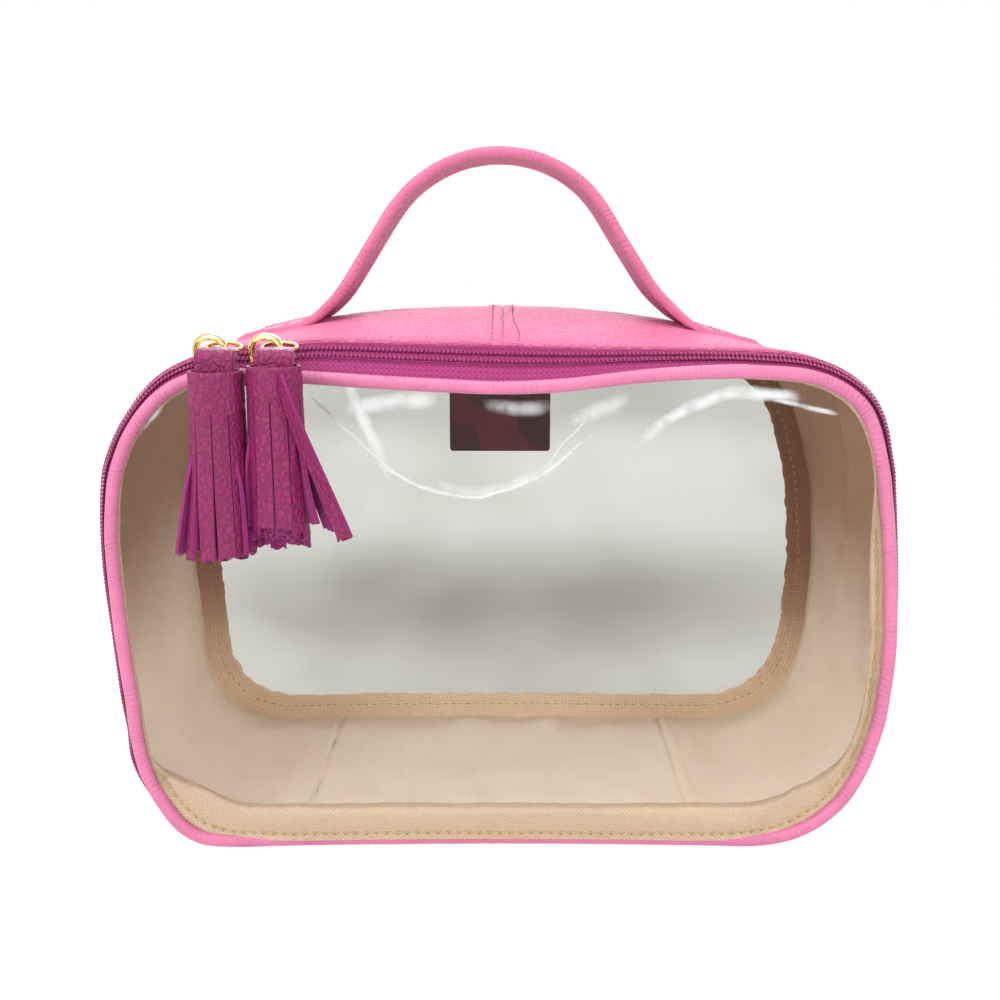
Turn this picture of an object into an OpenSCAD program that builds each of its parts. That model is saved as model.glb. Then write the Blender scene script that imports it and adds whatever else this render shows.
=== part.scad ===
// Soft makeup train case: a leather band with clear front and back windows, a coil zipper
// round the front, a sewn strap handle and two tasselled sliders. The clear front is the
// lid: it folds down about its bottom edge. Front is -Y. Origin: middle of the base.

/* [Case] */
// Width over the leather band
case_w = 239; // [200:1:280]
// Height of the leather band
case_h = 152; // [130:1:175]
// Depth over the front and back piping
case_d = 104; // [90:1:130]
// Outer radius of the two top corners
top_corner_r = 36; // [28:1:44]
// Outer radius of the two bottom corners
bottom_corner_r = 46; // [36:1:56]
// How far the leather band stands out beyond the middle of the piping
band_stand = 3; // [2.5:0.1:4]
// Place of the top seam, right of the middle
top_seam_x = 1; // [-5:0.5:5]
// Place of the bottom seam, right of the middle
bottom_seam_x = 4; // [2:0.5:8]

// How far the soft top stands up in its middle, between the handle's feet
crown_h = 13; // [8:0.5:14]

/* [Layers] */
// Thickness of the leather
leather_t = 1.2; // [1:0.1:1.4]
// Thickness of the stiffening layer behind the leather
stiffener_t = 0.8; // [0.5:0.1:1]
// Thickness of the lining cloth
lining_t = 0.6; // [0.4:0.1:0.8]
// Half width of the floor and top panels of the lining
lining_panel_x = 62; // [50:1:70]
// Thickness of the clear windows
window_t = 0.5; // [0.4:0.1:0.8]
// Width of the leather label patch on the back window
label_w = 38; // [25:1:60]
// Height of the label patch
label_h = 23; // [15:1:35]
// Height of the label patch's middle above the base
label_z = 119; // [90:1:122]

/* [Piping and binding] */
// Diameter of the piping
piping_d = 4; // [3.6:0.1:5]
// Thickness of the piping's leather skin
piping_skin_t = 0.5; // [0.4:0.1:0.7]
// Thickness of the piping's sewn flange
flange_t = 0.6; // [0.4:0.1:0.8]
// Width of the front seam's bias binding, seen inside the piping
front_binding_w = 9.7; // [7:0.1:12]
// Width of the back seam's bias binding, seen inside the lining
back_binding_w = 8.5; // [6:0.1:11]
// Thickness of the binding cloth
binding_t = 0.6; // [0.4:0.1:0.8]

/* [Zipper] */
// Depth of the band that the zipper bridges, from leather edge to front piping
zipper_band = 12.4; // [11.5:0.1:15]
// Width of case-side tape between the leather edge and its coil
case_tape_show = 1; // [0.6:0.1:1.5]
// Thickness of the zipper tape
tape_t = 0.5; // [0.4:0.1:0.7]
// Width of one coil
coil_w = 2.2; // [1.8:0.1:2.4]
// Height of one coil above the tape
coil_h = 1.2; // [1:0.1:1.4]
// Space between the two coils, where the slider's web runs
coil_gap = 1.6; // [1.4:0.1:2]
// How far the zipper runs round each bottom corner, from the side
zipper_end_angle = 50; // [35:1:60]

/* [Sliders] */
// Length of a slider along the zipper
slider_len = 9.6; // [8:0.1:11]
// Distance between the two parked sliders
slider_pitch = 16; // [15.9:0.1:20]
// Thickness of a slider's plates
slider_plate_t = 1.1; // [0.8:0.1:1.3]
// Clearance of a slider over the coils and tapes
slider_clearance = 0.4; // [0.3:0.05:0.6]
// Clear height under a slider's arch
arch_inner_h = 4.6; // [4.4:0.1:5.5]
// Width of the arch's band
arch_band_w = 1.8; // [1.4:0.1:2]
// Thickness of the arch's band
arch_band_t = 1; // [0.8:0.1:1.3]
// Radius of a jump ring, to the middle of its wire
ring_r = 5; // [4.9:0.1:5.4]
// Diameter of a jump ring's wire
ring_wire_d = 1.1; // [0.9:0.1:1.3]

/* [Tassels] */
// Diameter of a tassel's wrap
tassel_d = 15.4; // [13:0.1:15.7]
// Height of the wrap
wrap_h = 10.5; // [8:0.5:14]
// Length of a tassel from the top of its wrap to the end of its strips
tassel_len = 52; // [40:1:60]
// How much wider the strips stand at their ends
fringe_flare = 0.2; // [0:0.1:0.25]
// Number of slits round a tassel
fringe_slits = 8; // [6:1:10]
// Width of the leather tab that hangs on the jump ring
tab_w = 11; // [9:0.5:12]
// Drop from the ring's wire to the left wrap
left_drop = 4; // [2.6:0.1:8]
// Drop from the ring's wire to the right wrap
right_drop = 2.6; // [2.6:0.1:8]

/* [Handle] */
// Height of the handle's top above the base
handle_top = 214; // [195:1:235]
// Width of the handle strap
handle_w = 28; // [22:1:34]
// Thickness of the strap between its rolled edges
strap_t = 2.4; // [2:0.1:3]
// Diameter of the strap's rolled edges
rolled_edge_d = 4; // [3.4:0.1:4.6]
// Diameter of the cord in each rolled edge
handle_cord_d = 2.4; // [1.8:0.1:2.6]
// Outer radius of the handle's top bend
handle_arch_r = 41; // [38:0.5:48]
// Radius of the bends where the legs meet the case
foot_bend_r = 26; // [20:1:30]
// Length of the flat sewn tabs
handle_tab = 12; // [8:1:16]
// Height of the handle's bending line above the case
bend_line_h = 8.5; // [7:0.5:12]

/* [Hidden] */
$fn = 64;

// Clearances
seat_gap = 0.1;          // between nested layers of one body
body_gap = 0.3;          // between pieces of different bodies
overlap = 0.2;           // how far joined shapes of one solid run into each other

// The path that both pipings follow: a rounded rectangle in the X-Z plane. In a section,
// u is the distance out from this path and v is the distance forward of the case's middle.
path_x = case_w / 2 - band_stand;
path_top = case_h - band_stand;
path_bottom = band_stand;
path_top_r = top_corner_r - band_stand;
path_bottom_r = bottom_corner_r - band_stand;
piping_r = piping_d / 2;
piping_v = case_d / 2 - piping_r;

// Layers of the band, from the outside in
leather_u = band_stand - leather_t;
stiffener_u = leather_u - stiffener_t;
lining_u = stiffener_u - lining_t;

// Layers of both seams, counted back from the window's outer face. The window's edge sits
// in the hollow between the piping's round and its flange.
window_v = piping_v - piping_r * 0.45;
flange_v = window_v - window_t;
third_v = flange_v - flange_t;
front_binding_v = third_v - tape_t;
back_binding_v = third_v - leather_t;
window_edge_u = -piping_r - seat_gap;
front_seam_u = -piping_r - front_binding_w;
back_seam_u = lining_u - back_binding_w;

// Zipper: a sloping band from the leather's front edge to the front piping. s runs forward
// along the tape from between the coils, and n stands out of its outer face.
edge_v = piping_v - zipper_band;
tape_end_u = -0.2;
zipper_slope = (leather_u - tape_end_u) / (third_v - edge_v);
zipper_lean = atan(zipper_slope);
coil_near = coil_gap / 2;
coil_far = coil_near + coil_w;
chain_v = edge_v + case_tape_show + coil_far;
chain_u = leather_u - zipper_slope * (chain_v - edge_v);
tape_lap = 6.6;

// Sliders
plate_top_n = coil_h + slider_clearance + slider_plate_t;
plate_under_n = -tape_t - slider_clearance - 0.3;
flange_s = coil_far + slider_clearance;
slider_half_w = flange_s + 0.8;
arch_half = slider_len / 2;
arch_top_n = plate_top_n + arch_inner_h + arch_band_t;
slider_left_x = -(path_x - path_top_r);
slider_right_x = slider_left_x + slider_pitch;

// Jump rings: threaded under the arch, drooping forward over the piping
ring_turn = 30;
ring_droop = 13;
ring_drop_n = arch_band_t + ring_wire_d / 2 + 1.2;
thread_v = chain_v + (arch_top_n - ring_drop_n) * sin(zipper_lean);
thread_z = path_top + chain_u + (arch_top_n - ring_drop_n) * cos(zipper_lean);
ring_dx = ring_r * cos(ring_turn);
ring_reach = ring_r * (1 + sin(ring_turn));
loop_v = thread_v + ring_reach * cos(ring_droop) - 0.3;
loop_z = thread_z - ring_reach * sin(ring_droop);

// Tassels
tassel_r = tassel_d / 2;
tassel_v = case_d / 2 + tassel_r + 0.9;
tassel_dx = ring_dx + 1.4;
loop_hole_r = ring_wire_d / 2 + 0.85;
loop_wall = 1;
loop_w = 4.6;
wrap_wall = 1.2;
core_r = 3;
tab_t = 2.3;
slit_w = 0.8;

// Handle centreline: top arc, straight legs, foot bends and flat tabs, in the X-Z plane. The
// legs fall 4 for every 3 that they run out, so that every junction is at an exact place.
leg_run = 0.6;
leg_fall = 0.8;
leg_turn = atan2(leg_run, leg_fall);
edge_r = rolled_edge_d / 2;
arch_c = handle_arch_r - edge_r;
arch_z = handle_top - handle_arch_r;
foot_z = case_h + edge_r;
leg_len = (arch_z + arch_c * leg_run - foot_bend_r * (1 - leg_run) - foot_z) / leg_fall;
leg_x = arch_c * leg_fall + leg_len * leg_run;
leg_z = arch_z + arch_c * leg_run - leg_len * leg_fall;
foot_x = leg_x + foot_bend_r * leg_fall;
edge_y = handle_w / 2 - edge_r;
bend_z = case_h + bend_line_h;
bend_r = handle_w / 2;
corner_trim = 1.5;       // squares off the thin corners beside the bending zone

// Crown of the top: a patch of a ring-shaped surface that ends short of the zipper tape, the
// back seam and the handle's feet
crown_front_v = edge_v - tape_lap - 0.5;
crown_back_v = 6 - piping_v;
crown_v = (crown_front_v + crown_back_v) / 2;
crown_half_v = (crown_front_v - crown_back_v) / 2;
crown_half_x = foot_x - 8;
crown_rx = (pow(crown_half_x, 2) + pow(crown_h, 2)) / (2 * crown_h);
crown_rv = (pow(crown_half_v, 2) + pow(crown_h, 2)) / (2 * crown_h);

leather_pink = "hotpink";
magenta = "mediumvioletred";
cloth_beige = "wheat";
clear = [0.9, 0.93, 0.95, 0.35];
gold = "gold";

// ---- section shapes ----

// A rectangle between two places in each direction
module patch(u0, u1, v0, v1) {
    translate([u0, v0]) square([u1 - u0, v1 - v0]);
}

// ---- ways round the path ----

// Stands a path-plane shape up, so that its X-Y plane becomes the case's X-Z plane
module upright() {
    rotate([90, 0, 0]) children();
}

// A section carried round a bend of the path
module bend(x, y, r, from, sweep) {
    translate([x, y, 0]) rotate([0, 0, from]) rotate_extrude(angle = sweep, $fn = 96)
        translate([r, 0]) children();
}

// A section carried straight; heading is the way that u points
module straight(x, y, heading, length) {
    translate([x, y, 0]) rotate([0, 0, heading]) rotate([90, 0, 0])
        linear_extrude(length) children();
}

// The right-hand half, from a place on the top to a place on the bottom
module right_half(from_x, to_x) {
    top_run = path_x - path_top_r;
    bottom_run = path_x - path_bottom_r;
    straight(from_x, path_top, 90, top_run - from_x) children();
    bend(top_run, path_top - path_top_r, path_top_r, 0, 90) children();
    straight(path_x, path_top - path_top_r, 0, path_top - path_top_r - path_bottom - path_bottom_r)
        children();
    bend(bottom_run, path_bottom + path_bottom_r, path_bottom_r, 270, 90) children();
    straight(bottom_run, path_bottom, 270, bottom_run - to_x) children();
}

// All the way round
module full_round() {
    upright() {
        right_half(0, 0) children();
        mirror([1, 0, 0]) right_half(0, 0) children();
    }
}

// Only where the zipper runs: up one side, over the top and down the other
module zipper_half() {
    top_run = path_x - path_top_r;
    bottom_run = path_x - path_bottom_r;
    straight(0, path_top, 90, top_run) children();
    bend(top_run, path_top - path_top_r, path_top_r, 0, 90) children();
    straight(path_x, path_top - path_top_r, 0, path_top - path_top_r - path_bottom - path_bottom_r)
        children();
    translate([bottom_run, path_bottom + path_bottom_r, 0]) mirror([0, 1, 0])
        bend(0, 0, path_bottom_r, 0, zipper_end_angle) children();
}

module zipper_round() {
    upright() {
        zipper_half() children();
        mirror([1, 0, 0]) zipper_half() children();
    }
}

// Only where the zipper doesn't run: along the bottom and into the corners
module hinge_round() {
    bottom_run = path_x - path_bottom_r;
    upright() for (side = [0, 1]) mirror([side, 0, 0]) {
        straight(bottom_run, path_bottom, 270, bottom_run) children();
        bend(bottom_run, path_bottom + path_bottom_r, path_bottom_r, 270,
            89 - zipper_end_angle) children();
    }
}

// What lies under the crowned surface, some depth below it, above a floor and between two
// places across the case
module crown_lens(depth, floor_z, from_x, to_x) {
    side = 2 * crown_half_v;
    intersection() {
        translate([0, -crown_v, case_h + crown_h - crown_rx]) rotate([90, 0, 0])
            rotate_extrude($fn = 96) translate([crown_rx - crown_rv, 0])
                circle(crown_rv - depth, $fn = 96);
        translate([from_x, -crown_v - side, floor_z]) cube([to_x - from_x, 2 * side, 2 * crown_h]);
    }
}

// Raises the flat top of a layer into the crown, at the layer's own thickness
module crowned(outer_u, inner_u, from_x, to_x) {
    difference() {
        union() {
            children();
            crown_lens(band_stand - outer_u, path_top + inner_u, from_x, to_x);
        }
        crown_lens(band_stand - inner_u, path_top + inner_u - 1, -case_w, case_w);
    }
}

// Places a zipper part: local X along s, local Y along n, at a place along the top run
module on_chain(x) {
    translate([x, -chain_v, path_top + chain_u]) rotate([zipper_lean, 0, 0])
        rotate([0, 0, -90]) children();
}

// A clear panel that fills the path inside the piping
module window_panel(outer_v) {
    x = path_x + window_edge_u;
    top = path_top + window_edge_u;
    bottom = path_bottom - window_edge_u;
    rt = path_top_r + window_edge_u;
    rb = path_bottom_r + window_edge_u;
    upright() translate([0, 0, outer_v - window_t]) linear_extrude(window_t) {
        for (side = [-1, 1]) {
            translate([side * (x - rt), top - rt]) circle(rt, $fn = 96);
            translate([side * (x - rb), bottom + rb]) circle(rb, $fn = 96);
        }
        translate([-x, bottom + rb]) square([2 * x, top - rt - bottom - rb]);
        translate([rt - x, bottom + rb]) square([2 * (x - rt), top - bottom - rb]);
        translate([rb - x, bottom]) square([2 * (x - rb), top - rt - bottom]);
    }
}

// ---- case ----

module gusset_section() {
    patch(leather_u, band_stand, -third_v, edge_v);
    patch(back_seam_u + binding_t, band_stand, -third_v, -back_binding_v);
}

module gusset_left() {
    color(leather_pink) crowned(band_stand, leather_u, -path_x, top_seam_x)
        upright() mirror([1, 0, 0]) right_half(-top_seam_x, -bottom_seam_x) gusset_section();
}

module gusset_right() {
    color(leather_pink) crowned(band_stand, leather_u, top_seam_x, path_x)
        upright() right_half(top_seam_x, bottom_seam_x) gusset_section();
}

module stiffener() {
    color("gainsboro") crowned(leather_u, stiffener_u, -path_x, path_x) full_round()
        patch(stiffener_u, leather_u, -back_binding_v, edge_v - tape_lap - seat_gap);
}

module lining_section() {
    patch(lining_u, stiffener_u, -back_binding_v, edge_v - 1);
}

// The part of a half lining between the top panel and the floor panel
module lining_side() {
    crowned(stiffener_u, lining_u, lining_panel_x, path_x)
        upright() right_half(lining_panel_x, lining_panel_x) lining_section();
}

module lining_left() {
    color(cloth_beige) mirror([1, 0, 0]) lining_side();
}

module lining_right() {
    color(cloth_beige) lining_side();
}

module lining_top() {
    color(cloth_beige) crowned(stiffener_u, lining_u, -lining_panel_x, lining_panel_x)
        upright() straight(-lining_panel_x, path_top, 90, 2 * lining_panel_x) lining_section();
}

module lining_floor() {
    color(cloth_beige) upright()
        straight(lining_panel_x, path_bottom, 270, 2 * lining_panel_x) lining_section();
}

module back_window() {
    color(clear) mirror([0, 1, 0]) window_panel(window_v);
}

// A hollow round with a flat flange that is sewn into the seam
module piping_section(seam_u) {
    difference() {
        union() {
            translate([0, piping_v]) circle(piping_r, $fn = 48);
            patch(seam_u, -piping_r * 0.5, third_v, flange_v);
        }
        translate([0, piping_v]) circle(piping_r - piping_skin_t, $fn = 48);
    }
}

module back_piping() {
    color(leather_pink) full_round() mirror([0, 1]) piping_section(back_seam_u + binding_t);
}

module piping_cord() {
    full_round() translate([0, piping_v])
        circle(piping_r - piping_skin_t - seat_gap, $fn = 32);
}

module back_piping_cord() {
    color("white") mirror([0, 1, 0]) piping_cord();
}

module back_binding() {
    color(cloth_beige) full_round() mirror([0, 1]) {
        patch(back_seam_u, lining_u, back_binding_v - binding_t, back_binding_v);
        patch(back_seam_u, back_seam_u + binding_t, back_binding_v - binding_t, flange_v);
    }
}

module label_patch() {
    color("maroon") translate([-label_w / 2, window_v, label_z - label_h / 2])
        cube([label_w, leather_t, label_h]);
}

// The leather that carries the lid: it runs from the band's edge to just short of the piping
module hinge_strip() {
    tip_v = piping_v - piping_r;
    color(leather_pink) hinge_round() polygon([
        [leather_u, edge_v], [band_stand, edge_v], [band_stand, tip_v - 3],
        [piping_r * 0.7, tip_v], [piping_r * 0.3, tip_v - 0.3], [leather_u, tip_v - 3]
    ]);
}

// ---- zipper ----

// A point on the sloping face at a given v, some depth below it
function on_tape(v, depth) = [leather_u - zipper_slope * (v - edge_v) - depth, v];

module zipper_tape_case() {
    end_v = chain_v - coil_near;
    color(magenta) zipper_round() polygon([
        [leather_u, edge_v - tape_lap], [leather_u, edge_v], on_tape(end_v, 0),
        on_tape(end_v, tape_t), [leather_u - tape_t, edge_v],
        [leather_u - tape_t, edge_v - tape_lap]
    ]);
}

module zipper_tape_lid() {
    start_v = chain_v + coil_near;
    color(magenta) zipper_round() polygon([
        on_tape(start_v, 0), on_tape(third_v, 0), [front_seam_u + binding_t, third_v],
        [front_seam_u + binding_t, front_binding_v], on_tape(front_binding_v, tape_t),
        on_tape(start_v, tape_t)
    ]);
}

// A half-round-edged bar that stands for one coil; side is -1 on the case, 1 on the lid
module coil_section(side) {
    r = coil_h / 2;
    translate([chain_u, chain_v]) rotate(zipper_lean) {
        for (v = [coil_near + r, coil_far - r]) translate([r, side * v]) circle(r, $fn = 24);
        patch(0, coil_h, min(side * (coil_near + r), side * (coil_far - r)),
            max(side * (coil_near + r), side * (coil_far - r)));
    }
}

module zipper_coil_case() {
    color(magenta) zipper_round() coil_section(-1);
}

module zipper_coil_lid() {
    color(magenta) zipper_round() coil_section(1);
}

// Top plate, lid-side flange, the web between the coils and the short plate underneath
module slider(x) {
    under_len = slider_len * 0.7;
    web_len = slider_len * 0.4;
    web_w = coil_gap - 2 * slider_clearance;
    color(gold) on_chain(x) {
        translate([-slider_half_w, -slider_len / 2, plate_top_n - slider_plate_t])
            cube([2 * slider_half_w, slider_len, slider_plate_t]);
        translate([flange_s, -slider_len / 2, slider_clearance])
            cube([slider_half_w - flange_s, slider_len, plate_top_n - slider_clearance - overlap]);
        translate([-web_w / 2, -web_len / 2, plate_under_n - overlap])
            cube([web_w, web_len, plate_top_n - plate_under_n]);
        translate([-web_w, -under_len / 2, plate_under_n - slider_plate_t])
            cube([web_w + flange_s, under_len, slider_plate_t]);
    }
}

module slider_left() {
    slider(slider_left_x);
}

module slider_right() {
    slider(slider_right_x);
}

// The arch on a slider: two quarter bends and a straight band between them
module slider_arch(x) {
    bend_in = arch_inner_h * 0.6;
    bend_out = bend_in + arch_band_t;
    leg_h = arch_inner_h - bend_in;
    flat = arch_half - bend_out;
    color(gold) on_chain(x) translate([arch_band_w / 2, 0, plate_top_n])
        rotate([90, 0, 0]) rotate([0, 90, 0]) mirror([0, 0, 1]) linear_extrude(arch_band_w)
            difference() {
                union() {
                    for (side = [-1, 1]) translate([side * flat, leg_h]) circle(bend_out);
                    translate([-flat, leg_h]) square([2 * flat, bend_out]);
                    translate([-arch_half, 0]) square([2 * arch_half, leg_h]);
                }
                for (side = [-1, 1]) translate([side * flat, leg_h]) circle(bend_in);
                translate([-flat, leg_h]) square([2 * flat, bend_in]);
                translate([-flat - bend_in, -leg_h]) square([2 * (flat + bend_in), 2 * leg_h]);
                translate([-arch_half, -2 * bend_out]) square([2 * arch_half, 2 * bend_out]);
            }
}

module slider_arch_left() {
    slider_arch(slider_left_x);
}

module slider_arch_right() {
    slider_arch(slider_right_x);
}

module jump_ring(x) {
    color(gold) translate([x, -thread_v, thread_z]) rotate([ring_droop, 0, 0])
        translate([ring_dx, -ring_r * sin(ring_turn), 0])
            rotate_extrude($fn = 64) translate([ring_r, 0]) circle(ring_wire_d / 2, $fn = 24);
}

module jump_ring_left() {
    jump_ring(slider_left_x);
}

module jump_ring_right() {
    jump_ring(slider_right_x);
}

// ---- tassels ----

// A leather tab: a loop round the ring's wire, then a strap that bends down into the wrap
module tassel_tab(x, drop) {
    loop_r = loop_hole_r + loop_wall;
    wrap_top = loop_z - drop;
    inset = 4;
    color(magenta) difference() {
        union() {
            translate([x + ring_dx - loop_w / 2, -loop_v, loop_z]) rotate([0, 90, 0])
                cylinder(r = loop_r, h = loop_w, $fn = 48);
            translate([x + tassel_dx - tab_w / 2, 0, 0]) rotate([90, 0, 90]) linear_extrude(tab_w)
                polygon([
                    [-loop_v - loop_hole_r - 0.4, loop_z + loop_r * 0.7],
                    [-loop_v - loop_hole_r - 0.4, loop_z - loop_r * 0.45],
                    [-tassel_v + tab_t, loop_z - loop_r * 0.9],
                    [-tassel_v + tab_t / 2, wrap_top],
                    [-tassel_v + tab_t / 2, wrap_top - inset],
                    [-tassel_v - tab_t / 2, wrap_top - inset],
                    [-tassel_v - tab_t / 2, wrap_top],
                    [-tassel_v - tab_t * 0.3, loop_z + loop_r * 0.2]
                ]);
        }
        translate([x + ring_dx - loop_w, -loop_v, loop_z]) rotate([0, 90, 0])
            cylinder(r = loop_hole_r, h = 2 * loop_w, $fn = 48);
    }
}

// The rolled leather that binds the strips, open below and slotted for the tab
module tassel_wrap(x, drop) {
    top = loop_z - drop;
    color(magenta) translate([x + tassel_dx, -tassel_v, top - wrap_h]) difference() {
        cylinder(r = tassel_r, h = wrap_h);
        translate([0, 0, -wrap_wall]) cylinder(r = tassel_r - wrap_wall, h = wrap_h);
        translate([-tab_w / 2 - seat_gap, -tab_t / 2 - seat_gap, 0])
            cube([tab_w + 2 * seat_gap, tab_t + 2 * seat_gap, wrap_h + 1]);
    }
}

// A rolled sheet cut into strips: solid under the wrap, slit from there down
module tassel_fringe(x, drop) {
    top = loop_z - drop;
    neck_r = tassel_r - wrap_wall - seat_gap;
    bore_r = core_r + seat_gap;
    color(magenta) translate([x + tassel_dx, -tassel_v, top]) difference() {
        rotate_extrude() polygon([
            [bore_r, -tassel_len], [tassel_r + fringe_flare, -tassel_len], [tassel_r, -wrap_h - seat_gap],
            [neck_r, -wrap_h - seat_gap], [neck_r, -wrap_wall - seat_gap], [bore_r, -wrap_wall - seat_gap]
        ]);
        for (i = [0 : fringe_slits - 1]) rotate([0, 0, (i + 0.5) * 360 / fringe_slits])
            translate([0, -slit_w / 2, -tassel_len - 1])
                cube([2 * tassel_r, slit_w, tassel_len - wrap_h - 1]);
        translate([-tab_w / 2 - seat_gap, -tab_t / 2 - seat_gap, -4 - seat_gap])
            cube([tab_w + 2 * seat_gap, tab_t + 2 * seat_gap, 4]);
    }
}

// The inner turns of the roll
module tassel_core(x, drop) {
    top = loop_z - drop;
    short = 3;
    color(magenta) translate([x + tassel_dx, -tassel_v, top - tassel_len + short])
        cylinder(r = core_r, h = tassel_len - short - 4 - 2 * seat_gap);
}

module tassel_tab_left() {
    tassel_tab(slider_left_x, left_drop);
}

module tassel_wrap_left() {
    tassel_wrap(slider_left_x, left_drop);
}

module tassel_fringe_left() {
    tassel_fringe(slider_left_x, left_drop);
}

module tassel_core_left() {
    tassel_core(slider_left_x, left_drop);
}

module tassel_tab_right() {
    tassel_tab(slider_right_x, right_drop);
}

module tassel_wrap_right() {
    tassel_wrap(slider_right_x, right_drop);
}

module tassel_fringe_right() {
    tassel_fringe(slider_right_x, right_drop);
}

module tassel_core_right() {
    tassel_core(slider_right_x, right_drop);
}

// ---- lid ----

module front_window() {
    color(clear) window_panel(window_v);
}

module front_piping() {
    color(leather_pink) full_round() piping_section(front_seam_u + binding_t);
}

module front_piping_cord() {
    color("white") piping_cord();
}

module front_binding() {
    color(cloth_beige) full_round() {
        patch(front_seam_u, -0.7, front_binding_v - binding_t, front_binding_v);
        patch(front_seam_u, front_seam_u + binding_t, front_binding_v - binding_t, flange_v);
    }
}

// ---- handle ----

// A section of the strap: x is out of the strap's face, y is across it
module strap_section() {
    patch(-strap_t / 2, strap_t / 2, -edge_y, edge_y);
    for (side = [-1, 1]) translate([0, side * edge_y]) circle(edge_r, $fn = 48);
}

// A section carried over the top arc and down both legs and foot bends
module handle_sweep() {
    reach = 100;
    upright() {
        intersection() {
            translate([0, arch_z, 0]) rotate_extrude(angle = 180, $fn = 96)
                translate([arch_c, 0]) children();
            translate([0, 0, -handle_w]) linear_extrude(2 * handle_w) polygon([
                [0, arch_z], [reach * leg_fall, arch_z + reach * leg_run],
                [-reach * leg_fall, arch_z + reach * leg_run]
            ]);
        }
        for (side = [0, 1]) mirror([side, 0, 0]) {
            translate([leg_x, leg_z, 0]) rotate([0, 0, leg_turn]) rotate([-90, 0, 0])
                linear_extrude(leg_len) mirror([0, 1]) children();
            translate([foot_x, foot_z + foot_bend_r, 0]) intersection() {
                rotate([0, 0, 180]) rotate_extrude(angle = 90, $fn = 96)
                    translate([foot_bend_r, 0]) children();
                translate([0, 0, -handle_w]) linear_extrude(2 * handle_w) polygon([
                    [0, 0], [-reach * leg_fall, -reach * leg_run], [-reach * leg_fall, -reach], [0, -reach]
                ]);
            }
        }
    }
}

// The round zone about the bending line, where the fixed ends give way to the strap
module bend_zone(gap) {
    translate([-case_w / 2, 0, bend_z]) rotate([0, 90, 0])
        cylinder(r = bend_r + gap, h = case_w, $fn = 96);
}

module handle_strap() {
    color(leather_pink) difference() {
        handle_sweep() difference() {
            strap_section();
            for (side = [-1, 1]) translate([0, side * edge_y])
                circle(handle_cord_d / 2 + seat_gap, $fn = 32);
        }
        bend_zone(0);
        translate([-case_w / 2, -handle_w, case_h - handle_w])
            cube([case_w, 2 * handle_w, bend_line_h + handle_w + corner_trim]);
    }
}

// The cord in one rolled edge of the strap
module handle_cord(side) {
    color("white") difference() {
        handle_sweep() translate([0, side * edge_y]) circle(handle_cord_d / 2, $fn = 32);
        bend_zone(0);
        translate([-case_w / 2, -handle_w, case_h - handle_w])
            cube([case_w, 2 * handle_w, bend_line_h + handle_w + corner_trim]);
    }
}

module handle_cord_front() {
    handle_cord(1);
}

module handle_cord_back() {
    handle_cord(-1);
}

// One sewn end: the flat tab on the band and the foot of the leg, up to the bending zone
module handle_end() {
    color(leather_pink) {
        intersection() {
            handle_sweep() strap_section();
            bend_zone(-body_gap);
            translate([1, -handle_w, case_h]) cube([case_w, 2 * handle_w, 2 * bend_r]);
        }
        translate([foot_x - edge_r, -handle_w / 2 + 3, case_h]) cube([handle_tab, handle_w - 6, strap_t]);
    }
}

module handle_tab_right() {
    handle_end();
}

module handle_tab_left() {
    mirror([1, 0, 0]) handle_end();
}

gusset_left();
gusset_right();
stiffener();
lining_left();
lining_right();
lining_top();
lining_floor();
back_window();
back_piping();
back_piping_cord();
back_binding();
label_patch();
hinge_strip();
zipper_tape_case();
zipper_coil_case();
handle_tab_left();
handle_tab_right();
front_window();
front_piping();
front_piping_cord();
front_binding();
zipper_tape_lid();
zipper_coil_lid();
slider_left();
slider_arch_left();
slider_right();
slider_arch_right();
jump_ring_left();
jump_ring_right();
tassel_tab_left();
tassel_wrap_left();
tassel_fringe_left();
tassel_core_left();
tassel_tab_right();
tassel_wrap_right();
tassel_fringe_right();
tassel_core_right();
handle_strap();
handle_cord_front();
handle_cord_back();
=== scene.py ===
"""Makeup train case: leather band, clear windows, coil zipper, tassels and strap handle."""
import math
import random

import bmesh
import bpy
from mathutils import Matrix, Vector, noise


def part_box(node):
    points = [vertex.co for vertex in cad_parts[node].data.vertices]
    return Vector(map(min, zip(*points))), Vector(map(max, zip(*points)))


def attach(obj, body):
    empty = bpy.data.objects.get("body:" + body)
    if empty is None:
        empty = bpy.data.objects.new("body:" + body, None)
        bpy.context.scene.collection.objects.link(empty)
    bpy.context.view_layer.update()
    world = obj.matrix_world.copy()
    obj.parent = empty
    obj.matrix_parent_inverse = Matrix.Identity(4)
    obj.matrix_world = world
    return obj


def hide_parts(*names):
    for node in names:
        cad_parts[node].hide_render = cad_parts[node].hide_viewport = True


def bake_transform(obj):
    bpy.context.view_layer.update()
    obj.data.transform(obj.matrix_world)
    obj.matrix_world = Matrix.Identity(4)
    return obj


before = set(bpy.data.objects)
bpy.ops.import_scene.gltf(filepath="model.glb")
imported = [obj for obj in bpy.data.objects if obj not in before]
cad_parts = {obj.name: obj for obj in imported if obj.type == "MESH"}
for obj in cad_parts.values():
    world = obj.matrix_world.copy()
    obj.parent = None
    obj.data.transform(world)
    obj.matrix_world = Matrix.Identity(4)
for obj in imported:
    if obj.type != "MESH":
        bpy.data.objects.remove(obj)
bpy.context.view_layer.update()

bl_info = {
    "name": "Makeup train case",
    "version": (1, 0, 0),
    "blender": (4, 5, 0),
    "location": "3D View > Sidebar > Train Case",
    "description": "Builds a soft makeup train case round its CAD frame",
    "category": "Add Mesh",
}

MM = 0.001
FRONT_LOW, FRONT_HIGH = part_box("front_piping")
BAND_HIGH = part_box("gusset_right")[1]
HANDLE_LOW, HANDLE_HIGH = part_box("handle_strap")


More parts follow.
